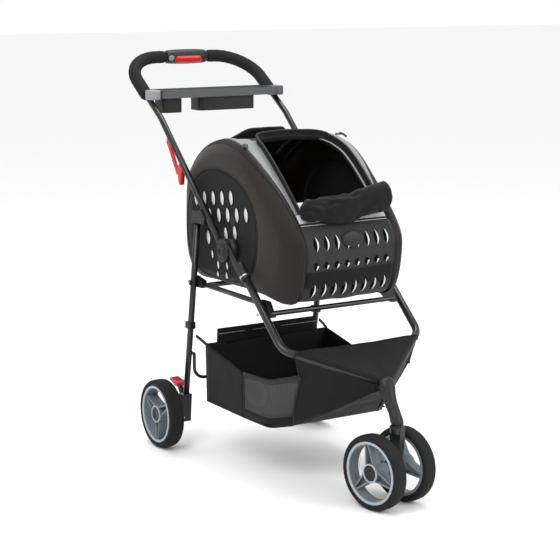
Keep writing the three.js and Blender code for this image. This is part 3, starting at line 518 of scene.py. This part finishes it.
def wheel(name, centre, axis, outward, width, body, boss, turn):
    """Foam tyre, moulded rim with three double-rib spokes, pale lips and a black cap."""
    h = width / 2
    way = Vector(axis).normalized() * outward
    tread = []
    for k in range(11):
        a = pi * k / 10
        tread.append((WHEEL_R - (7.5 * (1 - sin(a)) ** 1.6), -(h - 0.5) * cos(a)))
    tyre = [(74, -h + 3), (80, -h + 0.6)] + tread + [(80, h - 0.6), (74, h - 3)]
    piece(f"{name}_tread", *lathe(tyre, 96, centre, way), TYRE, body, [f"{name}_tyre"])
    side = way.orthogonal().normalized()
    rise = way.cross(side)
    band = [(66.5, -h + 3), (73.6, -h + 3), (73.6, h - 3), (69, h - 3), (67.5, h - 5), (66.5, 0)]
    drum = [(6, -boss), (18, -boss), (21, -boss + 3), (22, 0), (22, h - 4),
            (19.5, h - 3), (19.5, h - 6), (6, h - 6)]
    ribs = []
    for s in range(3):
        base = radians(turn + 120 * s)
        for lean in (-1, 1):
            a0, a1 = base + lean * 0.62, base + lean * 0.055
            p0 = side * (21 * cos(a0)) + rise * (21 * sin(a0))
            p1 = side * (68 * cos(a1)) + rise * (68 * sin(a1))
            across = (p1 - p0).normalized().cross(way) * 1.9
            corners = []
            for p, (lo, hi) in ((p0, (-h + 6, h - 5)), (p1, (-h + 6, h - 6))):
                corners += [Vector(centre) + p + across * t + way * d
                            for t, d in ((-1, lo), (1, lo), (1, hi), (-1, hi))]
            ribs.append((corners, [(0, 1, 2, 3), (7, 6, 5, 4), (0, 4, 5, 1), (1, 5, 6, 2),
                                   (2, 6, 7, 3), (3, 7, 4, 0)]))
        # the web between the two ribs of one spoke
        web = []
        for d in (-1.2, 1.2):
            for r, spread in ((21, 0.6), (68, 0.05)):
                for lean in (-1, 1):
                    a = base + lean * spread
                    web.append(Vector(centre) + side * (r * cos(a)) + rise * (r * sin(a))
                               + way * (d - 2))
        ribs.append((web, [(0, 1, 3, 2), (6, 7, 5, 4), (0, 4, 5, 1), (1, 5, 7, 3), (3, 7, 6, 2),
                           (2, 6, 4, 0)]))
    casting = merged(lathe(band, 96, centre, way), lathe(drum, 40, centre, way), *ribs)
    piece(f"{name}_centre", *casting, RIM, body, [f"{name}_rim"], bevel=0.7)
    lip = lathe([(67, h - 4), (74.4, h - 4), (74.8, h - 1.8), (72.5, h - 0.6), (69, h - 1.2)], 96,
                centre, way)
    ring = lathe([(18.6, h - 6), (22.6, h - 6), (22.6, h - 2), (21, h - 1), (18.6, h - 2)], 48,
                 centre, way)
    piece(f"{name}_lips", *merged(lip, ring), RIM_PALE, body)
    cap = lathe([(0.5, h - 6), (18.2, h - 6), (18.2, h - 2), (15, h - 0.6), (13, h - 0.6),
                 (12, h - 1.4), (0.5, h - 1)], 40, centre, way)
    piece(f"{name}_button", *cap, BLACK, body, [f"{name}_cap"])


for side, sign in SIDES:
    wheel(f"rear_wheel_{side}", (sign * 235, 248, WHEEL_R), (1, 0, 0), sign, 42,
          f"rear_wheel_{side}", 20, 75)
TURN = radians(10.4)
AXLE = Vector((cos(TURN), sin(TURN), 0))
AXLE_MID = Vector((-24 * sin(TURN), -470 + 24 * cos(TURN), WHEEL_R))
for side, sign in SIDES:
    wheel(f"front_wheel_{side}", AXLE_MID + AXLE * (sign * 49.4), AXLE, sign, 36,
          f"front_wheel_{side}", 32, 28)

# ---------- carrier
CENTRE_Y, CENTRE_Z = -5, 630
OUTLINE = [(-215, 452), (-262, 482), (-280, 568), (-268, 620), (-202, 692), (-104, 775), (-40, 809),
           (30, 822), (95, 815), (165, 790), (228, 742), (254, 684), (254, 520), (206, 462),
           (100, 460), (-100, 460)]
PANEL = [(-140, 600), (-128, 660), (-88, 708), (-20, 740), (60, 750), (135, 732), (188, 682),
         (205, 610), (198, 535), (165, 492), (90, 478), (-20, 478), (-92, 494), (-130, 540)]


def polar(outline):
    """Radius of a closed outline about the carrier's centre, by the angle in degrees."""
    n = len(outline)
    angles, radii = [], []
    for i in range(n):
        p0, p1, p2, p3 = (np.array(outline[(i + k) % n], float) for k in (-1, 0, 1, 2))
        for t in np.linspace(0, 1, 10, endpoint=False):
            p = 0.5 * (2 * p1 + (p2 - p0) * t + (2 * p0 - 5 * p1 + 4 * p2 - p3) * t**2
                       + (3 * p1 - p0 - 3 * p2 + p3) * t**3)
            angles.append(degrees(atan2(p[1] - CENTRE_Z, p[0] - CENTRE_Y)) % 360)
            radii.append(hypot(p[1] - CENTRE_Z, p[0] - CENTRE_Y))
    order = np.argsort(angles)
    known, values = np.array(angles)[order], np.array(radii)[order]
    return lambda a: float(np.interp(a % 360, known, values, period=360))


body_radius = polar(OUTLINE)
panel_radius = polar(PANEL)


def on_body(angle, scale, x, radius=body_radius):
    a = radians(angle)
    r = radius(angle) * scale
    return Vector((x, CENTRE_Y + r * cos(a), CENTRE_Z + r * sin(a)))


def body_band(a0, a1, x0, x1, scale, na, nx, sag=0.0, wrinkle=0.0, seed=0.0):
    """A sheet on the carrier's outline between two angles, from x0 to x1."""
    verts = []
    for j in range(na + 1):
        angle = a0 + (a1 - a0) * j / na
        for i in range(nx + 1):
            x = x0 + (x1 - x0) * i / nx
            hold = sin(pi * i / nx)
            p = on_body(angle, scale, x)
            ripple = noise.noise(p * 0.018 + Vector((seed, 0, 0))) * wrinkle * hold
            verts.append(on_body(angle, scale + (sag * hold + ripple) / 220, x))
    return verts, grid_faces(na + 1, nx + 1)


def seam(points, name, body="carrier", mat=PIPING, radius=1.8, sides=8, **kw):
    """A piped edge or a line of stitches; further words go to the sweep."""
    return piece(name, *sweep(points, radius, sides, **kw), mat, body)


ANGLES = [3.0 * k for k in range(120)]
BAND_X = (120, 127.6, 129, 133, 138, 143, 149, 155, 160, 165, 169, 172, 173.6)
BAND_SCALE = (0.978, 0.978, 0.988, 0.999, 1.004, 1.001, 0.985, 0.958, 0.930, 0.897, 0.865,
              0.835, 0.80)


def band_scale(x):
    return float(np.interp(x, BAND_X, BAND_SCALE))


def mouth_x(angle):
    return float(np.interp(angle, (84, 90, 99, 115, 130, 170), (90, 94, 103, 111, 113, 113)))


def seam_x(angle):
    """Where the brown ends and the mesh begins: further out over the top of the carrier."""
    return float(np.interp(angle, (0, 30, 92, 114, 131, 149, 163, 172, 300, 360),
                           (128, 140, 152, 151, 147, 139, 131, 128, 128, 128)))


BROWN_ROWS = 16
for side, sign in SIDES:
    verts, binding = [], []
    for k in range(BROWN_ROWS + 1):
        for a in ANGLES:
            x = seam_x(a) + (173.6 - seam_x(a)) * (k / BROWN_ROWS)
            puff = 0.006 * noise.noise(Vector((x * 0.02, cos(radians(a)) * 3,
                                               sin(radians(a)) * 3 + sign)))
            verts.append(on_body(a, band_scale(x) + puff, sign * x))
    for k in range(6):
        for a in ANGLES:
            x = seam_x(a) - 4 + 2.6 * k
            lift = 0.008 * sin(pi * k / 5)
            binding.append(on_body(a, band_scale(x) + lift, sign * x))
    piece(f"shell_binding_{side}", binding, grid_faces(6, 120, False, True), PIPING,
          "carrier", thick=1.5)
    # the flat of the side, in to the edge of the dark panel
    for share, x in ((0.5, 175.2), (0.12, 175.6), (0.0, 175.2), (-0.03, 172.5)):
        for a in ANGLES:
            outer, inner = on_body(a, 0.80, sign * x), on_body(a, 1, sign * x, panel_radius)
            verts.append(inner.lerp(outer, share))
    faces = grid_faces(BROWN_ROWS + 5, 120, False, True)
    band = piece(f"shell_{side}", verts, faces, BROWN, "carrier",
                 [f"carrier_shell_{side}"])
    seam([on_body(a, 1.0, sign * 175, panel_radius) for a in ANGLES], f"panel_piping_{side}",
         radius=2.2, closed=True)
    verts = []
    for share, x in ((1.0, 174.3), (0.9, 173.8), (0.7, 173.4), (0.45, 173.2), (0.2, 173.1),
                     (0.02, 173)):
        verts += [on_body(a, share, sign * x, panel_radius) for a in ANGLES]
    piece(f"side_panel_{side}", verts, grid_faces(6, 120, False, True), CLOTH, "carrier", thick=1.2)

    # rows of leaf-shaped vents: (height at y 0, droop towards the rear, first y, count)
    leaves, rims = [], []
    for height, droop, first, count in ((683, 0.121, -14, 5), (641, 0.123, -85, 6),
                                        (594, 0.21, -32, 4), (549, 0.21, -8, 3),
                                        (515, 0.1, -37, 3), (488, 0.1, 8, 2)):
        small = 0.6 if height < 590 else 1.0
        for k in range(count):
            y = first + 43.5 * k
            z = height - droop * y
            rim = []
            for t in np.linspace(0, 2 * pi, 20, endpoint=False):
                wide = 9.2 * abs(sin(t)) ** 1.25 * (1 if sin(t) > 0 else -1)
                rim.append(Vector((sign * 175.0, y + small * (wide + 2.5 * cos(t)),
                                   z + small * 18.5 * cos(t))))
            leaves.append((rim + [Vector((sign * 175.3, y, z))],
                           [(i, (i + 1) % 20, 20) for i in range(20)]))
            rims.append(sweep(rim, 0.9, 6, closed=True))
    piece(f"side_vents_{side}", *merged(*leaves), PALE_MESH, "carrier", thick=0.5)
    piece(f"side_vent_edges_{side}", *merged(*rims), PIPING, "carrier")

# Middle of the carrier, from the floor's front edge round to its rear edge
HALF = 127.5
FRONT_TOP, FRONT_LOW, MOUTH_REAR, MOUTH_HALF = 176.5, 222, 84.5, 97
front_panel = body_band(FRONT_LOW, FRONT_TOP + 1, -HALF, HALF, 0.982, 26, 30, 3, 3, 1)
front = piece("front_cloth", *front_panel, PANEL_CLOTH, "carrier",
              ["carrier_front_panel"], thick=2)
piece("front_mesh", *body_band(FRONT_TOP + 1, 163, -HALF, HALF, 0.975, 8, 20, 1), PALE_MESH,
      "carrier", thick=1.5)
seam([on_body(FRONT_TOP, 0.985 + 3 / 220 * sin(pi * (x + HALF) / (2 * HALF)), x)
      for x in np.linspace(-HALF, HALF, 30)], "front_hem", radius=2.2)
for side, sign in SIDES:
    strip = []
    for a in np.linspace(171, 30, 60):
        for t in np.linspace(0, 1, 8):
            inner = mouth_x(a) - 5
            x = inner + (seam_x(a) + 1 - inner) * t
            strip.append(on_body(a, band_scale(x) + 0.006 * sin(pi * t), sign * x))
    piece(f"top_mesh_{side}", strip, grid_faces(60, 8), MESH, "carrier",
          ["carrier_top"] if sign < 0 else (), thick=1.5)
piece("top_rear", *body_band(MOUTH_REAR, 40, -HALF, HALF, 0.978, 14, 20, 2, 2, 4), CLOTH,
      "carrier", thick=1.8)
piece("back_cloth", *body_band(40, -38.5, -HALF, HALF, 0.978, 26, 24, 2, 4, 7), CLOTH,
      "carrier", ["carrier_back_panel"], thick=2)
piece("floor_cloth", *patch((-HALF, -200, 461), (HALF, -200, 461), (HALF, 205, 461),
                            (-HALF, 205, 461), 20, 30, -1.5, 1.0), CLOTH, "carrier",
      ["carrier_floor"], thick=3)

# Collar round the mouth: an upright band with bound edges
rim = [on_body(a, 0.995, -mouth_x(a)) for a in np.linspace(170, 96, 40)]
corner = [on_body(MOUTH_REAR + 11.5 * (1 - sin(t)), 1.0 + 0.02 * sin(t),
                  -mouth_x(96) + (mouth_x(96) - 51) * (1 - cos(t)))
          for t in np.linspace(0.1, pi / 2, 10)]
back_run = [on_body(MOUTH_REAR, 1.02 + 0.012 * cos(pi * x / 2 / 50), x)
            for x in np.linspace(-46, 46, 12)]


def mirrored(points):
    return [Vector((-p.x, p.y, p.z)) for p in reversed(points)]


loop = rim + corner + back_run + mirrored(corner) + mirrored(rim)
lower, upper = [], []
for p in loop:
    out = Vector((0, p.y - CENTRE_Y, p.z - CENTRE_Z)).normalized()
    flare = Vector((p.x / MOUTH_HALF, 0, 0)) * 4
    lower.append(p - out * 12)
    upper.append(p + out * 12 + flare)
n = len(loop)
rows = [[a.lerp(b, t) for a, b in zip(lower, upper)] for t in (0, 0.33, 0.67, 1)]
piece("collar", sum(rows, []), grid_faces(4, n), CLOTH, "carrier", thick=4)
seam(upper, "collar_binding", radius=3)
seam([p.lerp(q, 0.45) for p, q in zip(lower, upper)], "collar_base", radius=2.4)

# Vents, hem strap and badge on the front
crescents, slots = [], []
for row, (z_mid, tall) in enumerate(((603, 17), (551, 9), (491, 17))):
    for k in range(8):
        x_mid = -99 + 28.5 * k
        lens, inner = [], []
        for t in np.linspace(-1, 1, 13):
            z = z_mid + tall * t + 0.02 * x_mid
            a = 180 - degrees(asin(max(-1, min(1, (z - CENTRE_Z) / 260))))
            for _ in range(8):  # walk to the angle whose height is z
                a += (on_body(a, 0.99, 0).z - z) * 0.2
            bow = 1 - t * t
            lens.append((a, x_mid + 6.5 * bow, x_mid - 5.5 * bow, x_mid + 2.3 * bow))
        lift = 0.990 + 3 / 220 * sin(pi * (x_mid + HALF) / (2 * HALF))
        n = len(lens)
        hollow = [on_body(a, lift, x) for a, x, _, _ in lens]
        hollow += [on_body(a, lift, x) for a, _, x, _ in lens]
        slots.append((hollow, [(i, i + 1, n + i + 1, n + i) for i in range(n - 1)]))
        edge = lens if row != 1 else lens[:8]
        m = len(edge)
        moon = [on_body(a, lift + 0.006, x) for a, x, _, _ in edge]
        moon += [on_body(a, lift + 0.005, x) for a, _, _, x in edge]
        crescents.append((moon, [(i, i + 1, m + i + 1, m + i) for i in range(m - 1)]))
piece("front_vents", *merged(*slots), DARK, "carrier", thick=0.6)
piece("front_vent_edges", *merged(*crescents), PALE_MESH, "carrier", thick=1.2)
strap = body_band(199.5, 207, -HALF + 4, HALF - 4, 0.992, 6, 30, 3)
piece("front_strap", *strap, CLOTH, "carrier", thick=3)
oval = []
for r in (0.0, 0.6, 0.85, 1.0):
    for k in range(32):
        t = 2 * pi * k / 32
        x, z = 3 + 31 * r * cos(t), 606 + 20 * r * sin(t)
        oval.append((x, -279.5 - 2.6 * (1 - r**3) - (606 - z) * 0.14 + 0.03 * (606 - z), z))
piece("badge", oval, grid_faces(4, 32, False, True), BLACK, "carrier",
      thick=1.5)

# Rolled-up cover over the front of the mouth: full at its left end, slack and hanging elsewhere
ring_count, sides = 72, 40
verts = []
for i in range(ring_count + 1):
    t = i / ring_count
    x = -121 + 249 * t
    hang = exp(-((t - 0.42) / 0.17) ** 2)
    slack = 1 / (1 + exp((t - 0.62) / 0.07))
    tall = 30 + 7 * t - 6 * slack
    deep = 24 + 6 * t - 3 * slack
    y = -247 - 5 * sin(pi * t) - 4 * hang
    z = 679 + 18 * t**1.5 - 2 * slack
    end = min(1.0, 0.55 + 9 * min(t, 1 - t))
    for k in range(sides):
        a = 2 * pi * k / sides
        low = max(0.0, -sin(a))
        p = Vector((x, y + end * deep * cos(a), z + end * tall * sin(a)))
        p.z -= 15 * hang * low + 3 * slack * low
        fold = noise.noise(Vector((x * 0.045, 2.4 * cos(a), 2.4 * sin(a) + 7)))
        wrap = sin(3 * a + x * 0.035 + 2 * fold)
        fine = noise.noise(Vector((x * 0.014, 6 * cos(a), 6 * sin(a) + 3)))
        out = Vector((0, cos(a), sin(a)))
        p += out * (fold * (1.5 + 4.5 * slack) + wrap * (0.6 + 1.2 * slack) + fine * 1.4)
        verts.append(p)
roll = piece("cover_roll", verts, tube_faces(ring_count + 1, sides), CLOTH, "carrier",
             ["rolled_cover"], subdivide=1)
for side, sign in SIDES:
    pull = on_body(100 if sign < 0 else 88, 1.02, sign * (seam_x(95) - 3))
    block_at = block(pull.x - 7, pull.x + 7, pull.y - 4, pull.y + 4, pull.z - 2, pull.z + 3, 2, 3)
    piece(f"zip_slider_{side}", *block_at, GREY, "carrier")
    tab = [(pull.x + sign * 2, pull.y - 3, pull.z + 3),
           (pull.x + sign * 6, pull.y - 14, pull.z + 1),
           (pull.x + sign * 8, pull.y - 26, pull.z - 5)]
    piece(f"zip_pull_{side}", *sweep(tab, 3.2, 8, up=(1, 0, 0), flat=0.4), GREY, "carrier")

# Rear flap: a stiffened half-moon that stands up behind the mouth
flap = []
for j in range(15):
    v = j / 14
    for i in range(41):
        u = i / 40
        grow = min(1.0, u / 0.42)
        tall = (9 + 27 * grow * grow * (3 - 2 * grow)) * (1 + 0.12 * u)
        corner = min(1.0, (1 - u) / 0.04)
        x = -84 + 168 * u
        y = 186 - 34 * v * grow - 5 * sin(pi * v)
        z = 791 + tall * v * (0.86 + 0.14 * corner) + 3 * sin(pi * u)
        flap.append((x, y, z + 0.7 * noise.noise(Vector((u * 6, v * 3, 9)))))
rear = piece("flap", flap, grid_faces(15, 41), CLOTH, "carrier", ["rear_flap"],
             thick=7)
seam([flap[14 * 41 + i] for i in range(41)], "flap_binding", radius=2.8)


def puffed(obj, cap, voxel=5.0, pressure=4.0, frames=20):
    """Fills a closed pad with Blender's cloth pressure, and lets no point move further than cap."""
    remesh = obj.modifiers.new("remesh", "REMESH")
    remesh.mode, remesh.voxel_size = "VOXEL", voxel * MM
    bpy.context.view_layer.objects.active = obj
    bpy.ops.object.modifier_apply(modifier="remesh")
    before = np.array([v.co for v in obj.data.vertices])
    cloth = obj.modifiers.new("cloth", "CLOTH")
    cloth.settings.use_pressure = True
    cloth.settings.uniform_pressure_force = pressure
    cloth.settings.effector_weights.gravity = 0
    cloth.point_cache.frame_start, cloth.point_cache.frame_end = 1, frames
    for f in range(1, frames + 1):
        bpy.context.scene.frame_set(f)
    shown = obj.evaluated_get(bpy.context.evaluated_depsgraph_get())
    after = np.array([v.co for v in shown.data.vertices])
    obj.modifiers.remove(cloth)
    move = after - before
    length = np.linalg.norm(move, axis=1, keepdims=True)
    move *= np.minimum(1, cap * MM / np.maximum(length, 1e-9))
    for v, p in zip(obj.data.vertices, before + move):
        v.co = p
    bpy.context.scene.frame_set(1)
    for polygon in obj.data.polygons:
        polygon.use_smooth = True
    obj.modifiers.new("sub", "SUBSURF").levels = 1


pad = piece("floor_cushion", *block(-113, 113, -178, 184, 479, 491, 30, 6), LINING, "carrier",
            ["floor_pad"])
puffed(pad, cap=6)


def basket_piece(name, shape, mat, thick=1.6, replaces=()):
    """A sheet of the basket, gathered with the rest of the soft basket pieces."""
    obj = piece(name, *shape, mat, "front_frame", replaces, thick=thick)
    soft_basket.append(obj)
    return obj


def basket_cord(name, points, radius=2.2, **kw):
    """A piped seam, elastic or strap of the basket."""
    soft_basket.append(seam(points, name, "front_frame", radius=radius, **kw))


REAR, FOOT_Y, LOW, TOP = 101, -186, 150, 300
ALONG = 18  # stations along the edges of the side cloth
HEM, REACH = 0.17, 0.82  # where the front cover starts on the legs, and how far it runs
COVER = 12.4  # radius of the cloth where it wraps a leg
LEAN = Vector((0, -0.47, 0.88))  # out of the plane of the converging legs
RUNS = 26  # steps along the front cover and its gussets
NOSE = (17, -409, 268)  # where the cloth ends at the caster housing
LOW_EDGE_END = (124, -217, LOW + 4)


def leg_line(s):
    """Half spacing and centre of the converging legs, from the knees (0) to the housing (1)."""
    return LEG_X - (LEG_X - 9) * s, Vector((0, -282 - 137 * s, 361 - 73 * s))


def wrap(sign, s, turn):
    """A place on the cloth round one leg, by its angle from straight outboard."""
    half, mid = leg_line(s)
    a = radians(turn)
    return mid + Vector((sign * (half + COVER * cos(a)), 0, 0)) + LEAN * (COVER * sin(a))


def girth(sign, points, count):
    """Stations along the lower or upper edge of the side cloth, with its corners rounded."""
    path = [Vector(p) for p in bent([(sign * p[0], *p[1:]) for p in points], 6)]
    lengths = np.cumsum([0] + [(b - a).length for a, b in zip(path, path[1:])])
    return [Vector([float(np.interp(d, lengths, [p[k] for p in path])) for k in range(3)])
            for d in np.linspace(0, lengths[-1], count)]


soft_basket, gussets = [], {}
for side, sign in SIDES:
    def at(x, y, z, sign=sign):
        return (sign * x, y, z)
    rear_panel = patch(at(180, REAR, LOW), at(176, -76, LOW - 2), at(183, -86, 263),
                       at(183, REAR, TOP), 14, 14, -3 * sign, 3, 3 + sign)
    basket_piece(f"basket_side_{side}", rear_panel, BASKET_CLOTH)
    # the window cloth bends round the soft front corner; the gusset carries on to the nose
    low = girth(sign, [(176, -76, LOW - 2), (167, -182, LOW - 4, 42), LOW_EDGE_END], ALONG)
    high = girth(sign, [(183, -86, 263), (178, -198, 266, 130), (157, -302, 298)], ALONG)
    window, rows, split = [], 10, 2
    for j in range(rows + 1):
        v = j / rows
        for i in range(ALONG):
            p = low[i].lerp(high[i], v)
            bulge = 7 * sin(pi * v) * sin(pi * i / (ALONG - 1))
            p.x += sign * bulge
            p.y -= bulge * i / (ALONG - 1)
            window.append(p)
    lower_rows = window[:ALONG * (split + 1)]
    basket_piece(f"basket_side_low_{side}", (lower_rows, grid_faces(split + 1, ALONG)),
                 BASKET_CLOTH)
    basket_piece(f"basket_window_{side}",
                 (window[ALONG * split:], grid_faces(rows + 1 - split, ALONG)),
                 BASKET_MESH, 0.8)
    basket_cord(f"basket_elastic_{side}", [p - Vector((0, 0, 3)) for p in high], 6.5, sides=10,
                up=(1, 0, 0), flat=0.4)
    # gusset: from the window's front edge to the nose, its top edge wrapped round the leg
    gusset, rows = [], 12
    front_low, front_high = low[-1], high[-1]
    for j in range(rows + 1):
        v = j / rows
        for i in range(RUNS + 1):
            u = i / RUNS
            bottom = front_low.lerp(Vector(at(*NOSE)), u)
            bottom.z -= 5 * sin(pi * u)
            top = wrap(sign, HEM + REACH * u, -12)
            start = front_low.lerp(front_high, min(1, v / 0.75))
            if v > 0.75:
                start = front_high.lerp(wrap(sign, HEM, -12), (v - 0.75) / 0.25)
            p = bottom.lerp(top, v)
            p = start.lerp(p, min(1.0, u * 5)) if u < 0.2 else p
            belly = sin(pi * v) * sin(pi * min(1, u + 0.12))
            crease = noise.noise(Vector((u * 5, v * 2.2, 4 + sign))) * 3.5 * belly
            pull = noise.noise(Vector((u * 2, v * 9, 8))) * 2.5 * belly * u
            p.x += sign * (7 * belly + crease + pull)
            p.z -= 3 * belly
            gusset.append(p)
    gussets[sign] = gusset
    edge = [Vector(at(180, REAR, LOW)), *low]
    basket_cord(f"basket_edge_{side}", edge)
    upright = [Vector(at(176.5, -76, LOW - 1)).lerp(Vector(at(183, -86, 263)), t)
               for t in np.linspace(0, 1, 8)]
    basket_cord(f"basket_upright_{side}", upright, 2.5)
    rise = [low[-1].lerp(high[-1], t) + Vector((sign * 4 * sin(pi * t), 0, 0))
            for t in np.linspace(0, 1, 10)]
    basket_cord(f"basket_gusset_seam_{side}", rise)
    corner = [Vector(at(180, REAR, LOW)).lerp(Vector(at(183, REAR, TOP)), t)
              for t in np.linspace(0, 1, 8)]
    basket_cord(f"basket_corner_{side}", corner)
    hook = [Vector(at(183, REAR - 2, TOP - 2)), Vector(at(186, REAR + 20, TOP + 6)),
            Vector(at(188, REAR + 42, 312))]
    basket_cord(f"basket_hook_{side}", hook, 5, sides=10, up=(1, 0, 0), flat=0.35)
floor_cloth = patch((-172, FOOT_Y, LOW), (172, FOOT_Y, LOW), (180, REAR, LOW), (-180, REAR, LOW),
                    20, 16, -6, 2, 2)
base = basket_piece("basket_floor", floor_cloth, BASKET_CLOTH, replaces=["basket"])
rear_wall = patch((-180, REAR, LOW), (180, REAR, LOW), (183, REAR, TOP), (-183, REAR, TOP),
                  24, 14, 4, 3, 6)
basket_piece("basket_rear", rear_wall, BASKET_CLOTH)
rear_tab = patch((-152, REAR, TOP - 8), (152, REAR, TOP - 8), (150, REAR, 335), (-150, REAR, 335),
                 24, 4, 2, 1.5, 7)
basket_piece("basket_rear_tab", rear_tab, BASKET_CLOTH)
basket_cord("basket_stitch", [(x, REAR - 1.8, 321) for x in np.linspace(-148, 148, 24)], 0.7,
            mat=THREAD)
low_right, nose_right = (-LOW_EDGE_END[0], *LOW_EDGE_END[1:]), (-NOSE[0], *NOSE[1:])
under = patch((-160, FOOT_Y, LOW - 3), (160, FOOT_Y, LOW - 3), LOW_EDGE_END, low_right,
              24, 6, -1, 1, 12)
basket_piece("basket_under_front", under, BASKET_CLOTH)
nose = patch(low_right, LOW_EDGE_END, NOSE, nose_right, 24, 20, -6, 3, 13)
basket_piece("basket_under", nose, BASKET_CLOTH)

# Front cover: one cloth up each gusset, over both converging legs and stretched between them
cover = []
OVER, SPAN, GUSSET = 7, 15, 12
for j in range(RUNS + 1):
    s = HEM + REACH * j / RUNS
    rise, arcs = {}, {}
    for sign in (-1, 1):
        rise[sign] = [gussets[sign][v * (RUNS + 1) + j] for v in range(GUSSET)]
        arcs[sign] = [wrap(sign, s, -12 + 130 * k / (OVER - 1)) for k in range(OVER)]
    span = []
    for k in range(1, SPAN):
        u = k / SPAN
        p = arcs[-1][-1].lerp(arcs[1][-1], u)
        dip = sin(pi * u)
        crease = 3 * noise.noise(Vector((p.x * 0.022, s * 3, 5))) * dip
        pull = 2.2 * noise.noise(Vector((p.x * 0.09, s * 1.2, 2))) * dip * s
        span.append(p + LEAN * (crease + pull + 2 - dip * (2 + 4 * sin(pi * s))))
    cover += rise[-1] + arcs[-1] + span + arcs[1][::-1] + rise[1][::-1]
cols = 2 * (OVER + GUSSET) + SPAN - 1
basket_piece("basket_cover", (cover, grid_faces(RUNS + 1, cols)), BASKET_CLOTH, thick=1.8)
basket_cord("basket_cover_hem", cover[GUSSET:cols - GUSSET], 3, mat=BASKET_CLOTH)
for side, sign in SIDES:
    snap = lathe([(0.4, 0), (5.5, 0), (5.2, 1.6), (3.6, 2.4), (0.4, 2.0)], 20,
                 (sign * 30, -396, 306), (0, -0.47, 0.88))
    piece(f"snap_{side}", *snap, STEEL, "front_frame")
for obj in soft_basket:
    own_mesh(obj)

# ---------- fittings in their CAD shape

FITTINGS = {"seat_front_rail": COAT, "caster_fork": COAT, "front_axle": STEEL}
for side, _ in SIDES:
    FITTINGS |= {f"rear_pivot_block_{side}": BLACK, f"rear_leg_saddle_{side}": BLACK,
                 f"wheel_bracket_{side}": COAT, f"rear_axle_{side}": STEEL}
for name, mat in FITTINGS.items():
    for material_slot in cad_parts[name].material_slots:
        material_slot.material = mat

# ---------- camera, light, floor
camera = bpy.data.objects.new("camera", bpy.data.cameras.new("camera"))
bpy.context.collection.objects.link(camera)
camera.data.lens = 100.4
camera.data.sensor_width = 36
camera.data.clip_end = 50
right = Vector((0.84770, -0.53048, 0.00088))
up = Vector((0.09928, 0.16026, 0.98207))
forward = Vector((0.52110, 0.83241, -0.18852))
pose = Matrix((right, up, -forward)).transposed().to_4x4()
pose.translation = Vector((-2.0722, -3.2695, 1.2050))
camera.matrix_world = pose
bpy.context.scene.camera = camera

world = bpy.data.worlds.new("studio")
bpy.context.scene.world = world
world.use_nodes = True
world.node_tree.nodes["Background"].inputs["Color"].default_value = (1, 1, 1, 1)
world.node_tree.nodes["Background"].inputs["Strength"].default_value = 1.0
bpy.context.scene.view_settings.view_transform = "Standard"


def area_light(name, place, size, power):
    light = bpy.data.objects.new(name, bpy.data.lights.new(name, "AREA"))
    light.data.size = size
    light.data.energy = power
    light.location = place
    light.rotation_euler = (Vector((0, 0, 0.5)) - Vector(place)).to_track_quat("-Z", "Y").to_euler()
    bpy.context.collection.objects.link(light)


area_light("key", (-2.2, -1.6, 2.8), 1.6, 60)
area_light("front", (1.6, -3.0, 1.8), 1.6, 40)
area_light("top", (0.3, 0.4, 3.0), 1.5, 45)

floor_mesh = bpy.data.meshes.new("floor")
floor_mesh.from_pydata([(-30, -30, 0), (30, -30, 0), (30, 30, 0), (-30, 30, 0)], [], [(0, 1, 2, 3)])
floor = bpy.data.objects.new("floor", floor_mesh)
bpy.context.collection.objects.link(floor)
floor_mesh.materials.append(material("floor_white", (0.92, 0.92, 0.92), 0.8, blotch=0.01))
